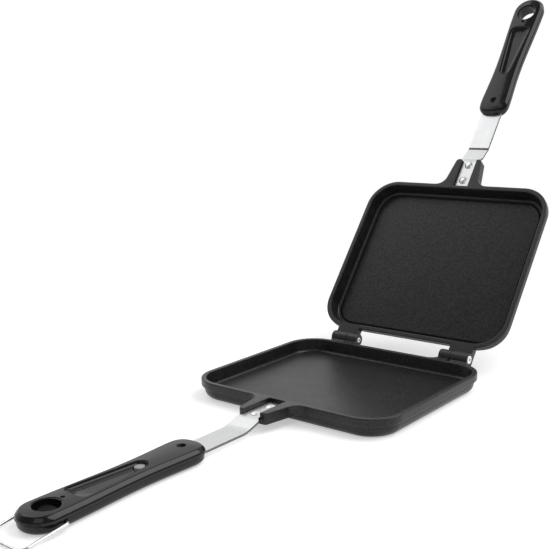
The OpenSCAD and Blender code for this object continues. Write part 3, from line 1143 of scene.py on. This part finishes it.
    def base_arm(self) -> Shape:
        """Return the base pan's right hinge arm with its knuckle.

        Returns:
            The shape.
        """
        axis = (self.place.axis_y, self.place.axis_lift)
        root = self.half_y + self.rim_r - self.sink
        outline = [
            (root, 0.0),
            (root, axis[1] - self.knuckle_r),
            *arc(axis, self.knuckle_r, -90, 181.9, 30),
        ]
        return Shape.across(outline, self.inner_x, self.split_x, self.arm_ease)

    def arm_root(self) -> Shape:
        """Return the round root on the inner side of the base pan's right arm.

        Returns:
            The shape.
        """
        root = self.half_y + self.rim_r
        radius = self.place.axis_y - root - self.knuckle_r
        outline = [
            (self.inner_x + 1.0, root - self.sink),
            (self.inner_x + 1.0, root + radius),
            *arc((self.inner_x - radius, root + radius), radius, 0, -90, 8),
            (self.inner_x - radius, root - self.sink),
        ]
        return Shape.prism(outline, self.place.axis_lift - self.knuckle_r, 0.0)

    def lid_plate(self) -> Shape:
        """Return the part of the lid's right tab that lies over the base's knuckle.

        Returns:
            The shape.
        """
        root = self.half_y + self.rim_r - self.sink
        edge = self.place.axis_y - self.knuckle_r
        low, (back, drop) = -self.flange_h, self.plate_edge
        outline = [(root, 0.0), (root, low), (edge, low), (edge, -drop), (edge - back, 0.0)]
        return Shape.across(outline, *self.plate_span, self.plate_ease)

    def lid_knuckle(self) -> Shape:
        """Return the lid's right knuckle with its tab and the heel that stops it.

        Returns:
            The shape.
        """
        axis_y, axis_z = self.place.axis_y, self.place.axis_lift
        turn = math.radians(self.place.open_angle)
        root, low = self.half_y + self.rim_r, -self.flange_h
        back, drop = axis_y - root, self.flange_h + axis_z
        heel_h = back * math.sin(turn) + drop * math.cos(turn) - self.heel_gap + axis_z
        heel_y = axis_y - back * math.cos(turn) + drop * math.sin(turn) + self.heel_extra
        outline = [
            (root - self.sink, 0.0),
            (root - self.sink, low),
            (heel_y - 2.0, low),
            (heel_y - 0.6, low + 1.4),
            (heel_y, low + 2.2),
            (heel_y, heel_h),
            ((axis_y + heel_y) / 2, heel_h),
            *arc((axis_y, axis_z), self.knuckle_r, 42, 181.9, 18),
        ]
        return Shape.across(outline, self.knuckle_x, self.outer_x, self.arm_ease)

    def shape(self) -> Shape:
        """Return the tray with its lug, hinge parts, bores and slot.

        Returns:
            The pan.
        """
        shape = Shape.loft([self.ring(radius, z) for radius, z in self.section()])
        shape.join(self.lug(self.body_r - self.rim_r, -self.lug_h, True))
        shape.join(self.lug(0.0, -self.flange_h, False))
        if self.place.half is Half.BASE:
            shape.join(self.base_arm().pair()).join(self.arm_root().pair())
            bore = self.bar(self.fast_r, self.inner_x - 1, self.split_x + 1)
        else:
            shape.join(self.lid_knuckle().pair()).join(self.lid_plate().pair())
            bore = self.bar(self.running_r, self.knuckle_x - 1, self.outer_x + 1)
            shape.join(self.bar(self.head_r, self.head_x, self.outer_x + 1), Joining.TAKE)
        shape.join(bore, Joining.TAKE).join(self.slot(), Joining.TAKE)
        for reach in RIVET_REACHES.values():
            hole = Shape.turned(drum(self.rivet_r, 0.0, self.hole_low), reach, 40)
            shape.join(hole.move(self.place.forward()).outward(), Joining.TAKE)
        return shape


@dataclass(frozen=True)
class Strap(Part):
    """A steel strap: narrow in the lug, wider outside it, bent down and straight into the grip.

    Tops are the heights of its upper face before and after the bends. Between are the reaches of
    the stations on its straight runs, and the fold spread is the angle that one fold covers.
    """

    ending: str = "bent"
    start: float = -0.5
    end: float = 103.0
    bends: Point2 = (24.0, 38.0)
    tops: Point2 = (-2.7, -7.1)
    thickness: float = 1.8
    narrow: float = 6.0
    wide: float = 8.2
    flare: float = 3.0
    bend_r: float = 1.6
    edge_r: float = 0.35
    rivet_r: float = 2.01
    cross_pin_r: float = 1.31
    bore_span: Point2 = (2.0, -12.0)
    fold_spread: float = 9.0
    fold_steps: int = 4
    flare_steps: int = 8
    between: Point2 = (10.0, 60.0)

    def half_width(self, reach: float) -> float:
        """Return the half width at a reach."""
        share = min(max((reach - self.bends[0]) / self.flare, 0.0), 1.0)
        return self.narrow + (self.wide - self.narrow) * share * share * (3 - 2 * share)

    def course(self, reach: float) -> Point3:
        """Return reach, height and slope of the strap's middle, with a round bend at each fold.

        Args:
            reach: Where it is asked for.

        Returns:
            Reach, height and slope in radians.
        """
        first, last = self.bends
        top, low = (height - self.thickness / 2 for height in self.tops)
        slope = math.atan2(top - low, last - first)
        back = self.bend_r * math.tan(slope / 2)
        if reach < first + back * math.cos(slope):
            turn = math.asin(max(reach - first + back, 0.0) / self.bend_r)
            return reach, top - self.bend_r * (1 - math.cos(turn)), turn
        if reach > last - back * math.cos(slope):
            turn = math.asin(max(last + back - reach, 0.0) / self.bend_r)
            return reach, low + self.bend_r * (1 - math.cos(turn)), turn
        return reach, top - (reach - first) * math.tan(slope), slope

    def stations(self) -> list[Point3]:
        """Return the strap's course from end to end, close together round the folds.

        Returns:
            Reach, height and slope at each station.
        """
        back, folds = self.bend_r * math.tan(math.radians(self.fold_spread)), self.fold_steps
        near = [
            bend + back * step / folds for bend in self.bends for step in range(-folds, folds + 1)
        ]
        near += [
            self.bends[0] + self.flare * step / self.flare_steps
            for step in range(self.flare_steps + 1)
        ]
        reaches = {self.start, *self.between, self.end, *(round(reach, 3) for reach in near)}
        return [self.course(reach) for reach in sorted(reaches)]

    def ring(self, reach: float, height: float, turn: float) -> list[Point3]:
        """Return the strap's rounded section at a station.

        Args:
            reach: Reach of the middle.
            height: Its height.
            turn: Slope in radians.

        Returns:
            The points in order.
        """
        half, mid, r = self.half_width(reach), self.thickness / 2, self.edge_r
        outline: list[Point2] = []
        for quarter, (sx, sy) in enumerate(((1, 1), (-1, 1), (-1, -1), (1, -1))):
            centre = (sx * (half - r), sy * (mid - r))
            outline += arc(centre, r, 90 * quarter, 90 * quarter + 90, 3)
        return [(x, reach + up * math.sin(turn), height + up * math.cos(turn)) for x, up in outline]

    def shape(self) -> Shape:
        """Return the strap with the bores of its rivets and its cross pin.

        Returns:
            The strap.
        """
        shape = Shape.loft([self.ring(*station) for station in self.stations()])
        bores = [(reach, self.rivet_r) for reach in RIVET_REACHES.values()]
        for reach, radius in (*bores, (CROSS_PIN_REACH, self.cross_pin_r)):
            shape.join(Shape.turned(drum(radius, *self.bore_span), reach, 40), Joining.TAKE)
        return shape


@dataclass(frozen=True)
class Rivet(Part):
    """A domed rivet through strap and lug, with a flat tail under the web.

    Rim is how far the dome stops short of the head's edge, and how high that edge stands. Dimple
    gives radius and height of the small hollow under the tail.
    """

    ending: str = "domed"
    reach: float = 5.5
    head_r: float = 3.5
    head_h: float = 1.0
    seat: float = -2.7
    shank_r: float = 2.0
    web: float = -7.2
    tail_r: float = 3.0
    tail_h: float = 0.9
    tail_edge_r: float = 0.3
    rim: Point2 = (0.12, 0.08)
    dimple: tuple[Point2, ...] = ((0.9, 0.0), (0.7, 0.25), (0.0, 0.3))
    dome_steps: int = 12

    def profile(self) -> list[Point2]:
        """Return the rivet's outline as radius and height, from the top of its dome down.

        Returns:
            The points in order.
        """
        dome_r = (self.head_r**2 + self.head_h**2) / (2 * self.head_h)
        centre = (0.0, self.seat + self.head_h - dome_r)
        spread = math.degrees(math.asin((self.head_r - self.rim[0]) / dome_r))
        dome = arc(centre, dome_r, 90, 90 - spread, self.dome_steps)[1:]
        foot = self.web - self.tail_h
        edge = (self.tail_r - self.tail_edge_r, foot + self.tail_edge_r)
        return [
            (0.0, dome[0][1] + 0.01),
            *dome,
            (self.head_r, self.seat + self.rim[1]),
            (self.head_r, self.seat),
            (self.shank_r, self.seat),
            (self.shank_r, self.web),
            (self.tail_r, self.web),
            *arc(edge, self.tail_edge_r, 0, -90, 3),
            *((radius, foot + up) for radius, up in self.dimple),
        ]

    def shape(self) -> Shape:
        """Return the rivet."""
        return Shape.turned(self.profile(), self.reach)


@dataclass(frozen=True)
class HingePin(Part):
    """A headed hinge pin, drawn upright, with a small punch mark in its head.

    Punched gives radius and depth below the head's top, and lead is the bevel of the far end.
    """

    ending: str = "headed"
    side: int = 1
    radius: float = 2.0
    head_r: float = 2.95
    edge_r: float = 0.4
    start: float = 34.0
    head_x: float = 54.8
    end: float = 56.2
    lead: float = 0.3
    punched: tuple[Point2, ...] = ((0.0, 0.35), (0.55, 0.3), (0.8, 0.02), (1.6, 0.0), (2.5, 0.08))

    def frame(self) -> Matrix:
        """Return the matrix from the pin, upright, to the hinge's axis in the row frame.

        Returns:
            The matrix.
        """
        axis = Matrix.Translation((0, self.place.axis_y, self.place.axis_lift))
        turn = Matrix.Rotation(math.radians(90 * self.side), 4, "Y")
        return self.place.matrix() @ axis @ turn

    def shape(self) -> Shape:
        """Return the pin, upright.

        Returns:
            The pin.
        """
        edge = (self.head_r - self.edge_r, self.end - 0.1 - self.edge_r)
        return Shape.turned([
            *((radius, self.end - depth) for radius, depth in self.punched),
            *arc(edge, self.edge_r, 75, 0, 4),
            (self.head_r, self.head_x),
            (self.radius, self.head_x),
            (self.radius, self.start + self.lead),
            (self.radius - self.lead, self.start),
            (0.0, self.start),
        ])


@dataclass(frozen=True)
class Grip(Part):
    """A moulded handle: waisted, with a bevelled face, a mould line, a recess and a hanging hole.

    Levels are depths below the face with the inset of the outline there, and the recess steps are
    the same for the recess. Wells are radius and depth, and the edges of the hanging hole are the
    extra radius and the depth from the nearer face.
    """

    ending: str = "moulding"
    sharp: float = 28.0
    start: float = 70.0
    end: float = 186.95
    face: float = -3.1
    thickness: float = 9.7
    end_half: float = 12.5
    pan_half: float = 12.0
    waist: float = 1.6
    waist_power: float = 0.75
    pan_end_len: float = 12.0
    pan_end_power: float = 0.77
    end_steps: int = 44
    side_steps: int = 22
    hang_reach: float = 171.5
    hang_r: float = 7.0
    hang_front: tuple[Point2, ...] = ((0.75, 0.0), (0.4, 0.06), (0.15, 0.22), (0.0, 0.6))
    hang_back: tuple[Point2, ...] = ((0.0, 0.6), (0.15, 0.22), (0.4, 0.06), (0.6, 0.0))
    recess_ends: Point2 = (112.6, 157.0)
    recess_half: Point2 = (4.5, 8.0)
    end_slope: float = 2.4
    corner_r: float = 4.2
    corner_share: float = 0.4
    least_r: Point2 = (0.5, 0.3)
    button_seat: Point2 = (3.6, 4.0)
    strap_end: float = 103.3
    mouth_half: float = 8.5
    mouth_span: Point2 = (-9.0, -7.0)
    vent_reach: float = 161.9
    levels: tuple[Point2, ...] = (
        (-0.42, 10.6), (-0.4, 9.6), (-0.35, 8.2), (-0.28, 6.8), (-0.19, 5.4), (-0.09, 4.1),
        (0.0, 2.95), (0.02, 2.6), (0.12, 2.2), (0.35, 1.8), (0.75, 1.42), (1.25, 0.96),
        (1.75, 0.5), (2.3, 0.18), (2.65, 0.05), (3.0, 0.0), (3.9, 0.0), (4.08, 0.05),
        (4.16, 0.2), (4.22, 0.66), (4.4, 0.72), (4.6, 0.6), (6.2, 0.6), (6.9, 0.7),
        (7.5, 0.93), (8.0, 1.27), (8.45, 1.7), (8.85, 2.2), (9.2, 2.8), (9.45, 3.42),
        (9.62, 4.1), (9.7, 4.9),
    )
    recess_steps: tuple[Point2, ...] = (
        (-1.0, -0.5), (0.0, -0.5), (0.04, -0.28), (0.14, -0.08), (0.4, 0.06), (0.8, 0.2),
        (1.2, 0.42), (1.5, 0.8), (1.75, 1.35), (1.97, 2.0), (2.14, 2.7), (2.26, 3.4), (2.33, 4.0),
    )
    pin_well: tuple[Point2, ...] = (
        (0.0, -1.0), (2.75, -1.0), (2.75, 0.0), (2.5, 0.05), (2.3, 0.25), (2.15, 0.75),
        (1.36, 0.95), (1.34, 8.1), (0.0, 8.1),
    )
    vent_well: tuple[Point2, ...] = (
        (0.0, -1.0), (1.25, -1.0), (1.25, 0.0), (1.05, 0.1), (1.0, 0.3), (0.95, 2.0), (0.0, 2.0),
    )
    bail_well: tuple[Point2, ...] = (
        (0.0, 8.5), (1.33, 8.5), (1.33, 11.6), (1.6, 12.0), (1.6, 13.5), (0.0, 13.5),
    )

    def half_width(self, reach: float) -> float:
        """Return the half width between the two rounded ends.

        Args:
            reach: Where it is asked for.

        Returns:
            Half width in millimetres.
        """
        first, last = self.start + self.pan_end_len, self.end - self.end_half
        share = (reach - first) / (last - first)
        drawn = self.waist * math.sin(math.pi * share**self.waist_power) ** 2
        return self.pan_half + (self.end_half - self.pan_half) * share - drawn

    def outline(self, inset: float) -> list[Point2]:
        """Return the outline in x and reach, drawn in by an inset.

        Args:
            inset: Distance from the widest outline.

        Returns:
            The points in order.
        """
        first, last = self.start + self.pan_end_len, self.end - self.end_half
        steps = self.side_steps
        reaches = [last + (first - last) * i / steps for i in range(1, steps)]
        points = arc((0, last), self.end_half - inset, 0, 180, self.end_steps)
        points += [(inset - self.half_width(reach), reach) for reach in reaches]
        for x, y in arc((0, 0), 1.0, 180, 360, self.end_steps):
            x, y = (math.copysign(abs(part) ** self.pan_end_power, part) for part in (x, y))
            points.append(((self.pan_half - inset) * x, first + (self.pan_end_len - inset) * y))
        return points + [(self.half_width(reach) - inset, reach) for reach in reversed(reaches)]

    def solid(self) -> Shape:
        """Return the grip before anything is cut into it.

        Returns:
            The shape.
        """
        return Shape.loft([
            [(x, reach, self.face - depth) for x, reach in self.outline(inset)]
            for depth, inset in self.levels
        ])

    def recess_ring(self, depth: float, inset: float) -> list[Point3]:
        """Return the recess's outline at a depth.

        Args:
            depth: Depth below the face.
            inset: Distance from the outline at the face.

        Returns:
            A ring round the narrow round end and the two wide corners.
        """
        narrow_r = max(self.recess_half[0] - inset, self.least_r[0])
        wide_r = max(self.corner_r - self.corner_share * inset, self.least_r[1])
        wide_x = self.recess_half[1] - inset - wide_r
        wide_reach = self.recess_ends[1] - wide_r - self.end_slope * max(inset, 0.0)
        gap = wide_reach - self.recess_ends[0]
        lean = math.atan2(gap, wide_x) - math.acos((narrow_r - wide_r) / math.hypot(gap, wide_x))
        lean = math.degrees(lean)
        points = arc((wide_x, wide_reach), wide_r, lean, 90, 8)
        points += arc((-wide_x, wide_reach), wide_r, 90, 180 - lean, 8)
        points += arc((0, self.recess_ends[0]), narrow_r, 180 - lean, 360 + lean, 26)
        return [(x, reach, self.face - depth) for x, reach in points]

    def well(self, reach: float, profile: Sequence[Point2], steps: int) -> Shape:
        """Return a round cutter at a reach, from its radius and its depth below the face."""
        outline = [(radius, self.face - depth) for radius, depth in profile]
        return Shape.turned(outline, reach, steps)

    def hang_hole(self) -> Shape:
        """Return the cutter of the hanging hole, with both its edges eased.

        Returns:
            The cutter.
        """
        front = [(self.hang_r + out, depth) for out, depth in self.hang_front]
        back = [(self.hang_r + out, self.thickness - depth) for out, depth in self.hang_back]
        above, below = -1.0, self.thickness + 1
        ends = ((0.0, above), (front[0][0], above)), ((back[-1][0], below), (0.0, below))
        return self.well(self.hang_reach, [*ends[0], *front, *back, *ends[1]], 64)

    def strap_mouth(self) -> Shape:
        """Return the cutter of the slot that the strap's end lies in.

        Returns:
            The cutter.
        """
        half, near, far = self.mouth_half, self.start - 1, self.strap_end
        outline = [(half, near), (half, far), (-half, far), (-half, near)]
        return Shape.prism(outline, *self.mouth_span)

    def cutters(self) -> list[Shape]:
        """Return what is cut out of the grip, with the button's seat and the bail's on the base.

        Returns:
            The cutters.
        """
        found = [
            self.hang_hole(),
            self.well(CROSS_PIN_REACH, self.pin_well, 40),
            self.well(self.vent_reach, self.vent_well, 24),
            self.strap_mouth(),
            Shape.loft([self.recess_ring(*step) for step in self.recess_steps]),
        ]
        if self.place.half is Half.BASE:
            radius, depth = self.button_seat
            seat = drum(radius, -1.0, depth)
            turn = Matrix.Rotation(math.radians(90), 4, "Y")
            hole = Shape.turned(self.bail_well, 0.0, 32)
            hole.move(Matrix.Translation((0, *BAIL_PIVOT)) @ turn)
            found += [self.well(self.recess_ends[0], seat, 48), hole.pair()]
        return found

    def shape(self) -> Shape:
        """Return the grip with everything cut into it.

        Returns:
            The grip.
        """
        shape = self.solid()
        for cutter in self.cutters():
            shape.join(cutter, Joining.TAKE)
        return shape


@dataclass(frozen=True)
class GripButton(Part):
    """The crowned disc in the narrow end of the lower grip's recess."""

    ending: str = "disc"
    reach: float = 112.6
    radius: float = 2.9
    edge_r: float = 0.35
    foot: float = -7.1
    top: float = -3.7
    crown: float = 0.45
    crown_steps: int = 8

    def shape(self) -> Shape:
        """Return the disc.

        Returns:
            The disc.
        """
        flat, steps = self.radius - self.edge_r, self.crown_steps
        shares = [i / steps for i in range(steps + 1)]
        profile = [(flat * share, self.top - self.crown * share**2) for share in shares]
        profile += arc((flat, self.top - self.crown - self.edge_r), self.edge_r, 72, 0, 4)
        return Shape.turned([*profile, (self.radius, self.foot), (0.0, self.foot)], self.reach)


@dataclass(frozen=True)
class Bail(Part):
    """The bent wire that hangs from the lower grip and swings over the upper one's end.

    End shares are how thick its last rings are, and side shares where along its length the sides
    have a ring between their bends.
    """

    ending: str = "wire"
    wire_r: float = 0.95
    side: float = 14.25
    length: float = 27.5
    inner_end: float = 8.7
    hook_r: float = 2.2
    corner_r: float = 5.0
    lowest: float = -13.0
    end_shares: Point3 = (0.7, 0.93, 1.0)
    pivot_len: float = 2.7
    pivot_steps: int = 9
    side_shares: Point2 = (0.3, 0.55)
    bar_half: float = 3.0
    facets: int = 20

    def body(self) -> str:
        """Return the bail's own body."""
        return "bail"

    def course(self) -> list[Point2]:
        """Return the wire's middle line as x and distance from the pivots, from end to end.

        Returns:
            The points in order.
        """
        step = self.pivot_len / self.pivot_steps
        half = [(self.inner_end + i * step, 0.0) for i in range(self.pivot_steps + 1)]
        half += arc((self.side - self.hook_r, self.hook_r), self.hook_r, -90, 0, 10)
        half += [(self.side, self.length * share) for share in self.side_shares]
        centre = (self.side - self.corner_r, self.length - self.corner_r)
        half += arc(centre, self.corner_r, 0, 90, 14)
        return mirrored([*half, (self.bar_half, self.length)])

    def shape(self) -> Shape:
        """Return the wire, drawn through round rings that are smaller at its two ends.

        Returns:
            The wire.
        """
        lean = math.asin((BAIL_PIVOT[1] - self.lowest - self.wire_r) / self.length)
        along, down = math.cos(lean), math.sin(lean)
        points = self.course()
        last = len(points) - 1
        rings = []
        for i, (x, out) in enumerate(points):
            before, after = points[max(i - 1, 0)], points[min(i + 1, last)]
            run, rise = after[0] - before[0], after[1] - before[1]
            span = math.hypot(run, rise)
            radius = self.wire_r * self.end_shares[min(i, last - i, 2)]
            ring = []
            for across, up in arc((0.0, 0.0), radius, 0, 360, self.facets)[:-1]:
                far = out + across * run / span
                ring.append((
                    x - across * rise / span,
                    BAIL_PIVOT[0] + far * along + up * down,
                    BAIL_PIVOT[1] - far * down + up * along,
                ))
            rings.append(ring)
        return Shape.loft(rings)


@dataclass(frozen=True)
class FinishRack:
    """The finishes, each built once for each half that asks for it."""

    places: dict[Half, HalfPlace]
    effects: Effects = field(default_factory=Effects)
    made: dict[tuple[type[Finish], Half], Dressing] = field(default_factory=dict)

    def get(self, kind: type[Finish], half: Half) -> Dressing:
        """Return a finish for a half.

        Args:
            kind: The finish.
            half: Half whose millimetres the pattern follows.

        Returns:
            The material with its slot.
        """
        if (kind, half) not in self.made:
            self.made[kind, half] = kind().build(self.places[half], self.effects)
        return self.made[kind, half]


@dataclass(frozen=True)
class IronHalf:
    """One half of the iron: its pan, strap, rivets and grip."""

    place: HalfPlace
    prefix: str
    floor: float
    strap_bend: float

    def build(self, rack: FinishRack) -> None:
        """Build and dress all pieces of the half.

        Args:
            rack: The finishes.
        """
        place, prefix, half = self.place, self.prefix, self.place.half
        PanCasting(place, floor=self.floor).build(f"{half.value}_pan", rack.get(PanCoat, half))
        strap = Strap(place, bend_r=self.strap_bend)
        strap.build(f"{prefix}_strap", rack.get(StrapSteel, half))
        for name, reach in RIVET_REACHES.items():
            rivet = Rivet(place, reach=reach)
            rivet.build(f"{prefix}_rivet_{name}", rack.get(RivetSteel, half))
        Grip(place).build(f"{prefix}_handle", rack.get(HandlePlastic, half))


def dress_cross_pins(nodes: dict[str, bpy.types.Object], rack: FinishRack) -> None:
    """Give the two cross pins, which stay as CAD nodes, their finish.

    Args:
        nodes: The frame's nodes by name.
        rack: The finishes.
    """
    for name, half in (("lower_handle_pin", Half.BASE), ("upper_handle_pin", Half.LID)):
        finish = rack.get(PinShadeSteel, half)
        for holder in nodes[name].material_slots:
            holder.material = finish.material
        log.info("%s: %s", name, finish.material.name)


# ---- studio ----


@dataclass(frozen=True)
class Lamp:
    """A square soft lamp: where it stands and faces, its side in metres and its power in watts."""

    name: str
    place: Point3
    aim: Point3
    size: float
    power: float

    def build(self) -> None:
        """Add the lamp to the scene."""
        light = bpy.data.lights.new(self.name, "AREA")
        light.shape = "SQUARE"
        light.size = self.size
        light.energy = self.power
        lamp = put(self.name, light)
        lamp.location = self.place
        way = Vector(self.aim) - Vector(self.place)
        lamp.rotation_euler = way.to_track_quat("-Z", "Y").to_euler()


@dataclass(frozen=True)
class Studio:
    """Plain pale floor, white surroundings and large soft lamps.

    Reflections show a bright backdrop in one direction and a darker room in the others.
    """

    floor_size: float = 12.0
    floor_colour: float = 0.82
    floor_glow: float = 0.45
    fill: float = 0.42
    room: float = 0.26
    glow: float = 0.87
    backdrop: Point3 = (-0.58, 0.75, -0.3)
    sweep: Point2 = (-0.35, 0.55)
    middle: Point3 = (0.0, -0.06, 0.0)
    fade: Point2 = (0.20, 0.50)
    lamps: tuple[Lamp, ...] = (
        Lamp("key", (0.9, -1.6, 1.9), (0, 0, 0.08), 1.4, 6.0),
        Lamp("top_right", (1.0, 0.7, 1.55), (0, -0.05, 0.05), 1.6, 24.0),
        Lamp("top_left", (-1.3, 0.03, 1.8), (0, 0.2, 0.18), 1.25, 6.8),
    )

    def world(self) -> None:
        """Make surroundings that are white to look at, with a darker room in front."""
        world = bpy.data.worlds.new("surroundings")
        world.use_nodes = True
        world.node_tree.nodes.clear()
        sheet = Sheet(world.node_tree)
        path = sheet.add("ShaderNodeLightPath").outputs
        direction = sheet.add("ShaderNodeTexCoord").outputs["Generated"]
        towards = sheet.vector("DOT_PRODUCT", direction, self.backdrop)
        sweep = sheet.fit(towards, self.sweep, (self.room, self.glow), smooth=True)
        above_fill = sheet.math("SUBTRACT", sweep, self.fill)
        mirrored_part = sheet.math("MULTIPLY", path["Is Glossy Ray"], above_fill)
        unseen = sheet.math("ADD", mirrored_part, self.fill)
        seen = sheet.math("ADD", path["Is Camera Ray"], path["Is Transmission Ray"], clamp=True)
        rest = sheet.math("MULTIPLY", seen, sheet.math("SUBTRACT", 1.0, unseen))
        strength = sheet.math("ADD", unseen, rest)
        back = sheet.add("ShaderNodeBackground", {"Color": grey(1.0), "Strength": strength})
        sheet.add("ShaderNodeOutputWorld", {"Surface": back.outputs[0]})
        bpy.context.scene.world = world

    def floor(self) -> None:
        """Make the floor, which fades to plain white away from the iron's shadow."""
        bm = bmesh.new()
        bmesh.ops.create_grid(bm, x_segments=1, y_segments=1, size=self.floor_size / 2)
        mesh = bpy.data.meshes.new("floor")
        bm.to_mesh(mesh)
        bm.free()
        material = bpy.data.materials.new("pale_floor")
        material.use_nodes = True
        material.node_tree.nodes.clear()
        sheet = Sheet(material.node_tree)
        path = sheet.add("ShaderNodeLightPath").outputs
        first = sheet.math("ADD", path["Is Camera Ray"], path["Is Glossy Ray"], clamp=True)
        seen = sheet.math("ADD", first, path["Is Transmission Ray"], clamp=True)
        inputs = {"Base Color": grey(self.floor_colour), "Roughness": 1.0}
        inputs |= {"Specular IOR Level": 0.0, "Emission Color": grey(1.0)}
        inputs["Emission Strength"] = sheet.math("MULTIPLY", seen, self.floor_glow)
        shader = sheet.add("ShaderNodeBsdfPrincipled", inputs)
        spot = sheet.add("ShaderNodeTexCoord").outputs["Object"]
        away = sheet.fit(sheet.vector("DISTANCE", spot, self.middle), self.fade, smooth=True)
        white = sheet.add("ShaderNodeEmission", {"Color": grey(1.0), "Strength": 1.0})
        inputs = {0: sheet.math("MULTIPLY", away, seen), 1: shader.outputs[0], 2: white.outputs[0]}
        mixed = sheet.add("ShaderNodeMixShader", inputs)
        sheet.add("ShaderNodeOutputMaterial", {"Surface": mixed.outputs[0]})
        mesh.materials.append(material)
        floor = put("floor", mesh)

    def build(self) -> None:
        """Make the floor, the surroundings and the lamps."""
        self.world()
        self.floor()
        for lamp in self.lamps:
            lamp.build()


@dataclass(frozen=True)
class PhotoCamera:
    """The camera at the photograph's viewing angle."""

    place: Point3 = (0.3456, -0.4872, 0.1997)
    azimuth: float = 39.22
    elevation: float = 11.37
    roll: float = -1.40
    lens: float = 62.04
    sensor: float = 36.0
    near: float = 0.01

    def build(self) -> None:
        """Make the camera and set it as the scene's."""
        camera = bpy.data.cameras.new("camera")
        camera.lens = self.lens
        camera.sensor_width = self.sensor
        camera.clip_start = self.near
        turn = (
            Matrix.Rotation(math.radians(self.azimuth), 4, "Z")
            @ Matrix.Rotation(math.radians(90 - self.elevation), 4, "X")
            @ Matrix.Rotation(math.radians(self.roll), 4, "Z")
        )
        holder = put("camera", camera)
        holder.matrix_world = Matrix.Translation(self.place) @ turn
        bpy.context.scene.camera = holder


def main() -> None:
    """Load the frame, build and dress every piece, and set up the studio."""
    logging.basicConfig(level=logging.INFO, format="%(message)s")
    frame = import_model()
    bpy.context.scene.view_settings.view_transform = "Standard"
    PhotoCamera().build()
    Studio().build()
    places = {half: HalfPlace(half) for half in Half}
    base = places[Half.BASE]
    rack = FinishRack(places)
    IronHalf(base, "lower", floor=4.0, strap_bend=24.0).build(rack)
    GripButton(base).build("handle_button", rack.get(ButtonPaintedHighlight, Half.BASE))
    IronHalf(places[Half.LID], "upper", floor=2.8, strap_bend=1.6).build(rack)
    for side, name in ((1, "right"), (-1, "left")):
        HingePin(base, side=side).build(f"hinge_pin_{name}", rack.get(PinSteel, Half.BASE))
    Bail(base).build("bail", rack.get(WireSteel, Half.BASE))
    dress_cross_pins(frame["nodes"], rack)


if __name__ == "__main__":
    main()
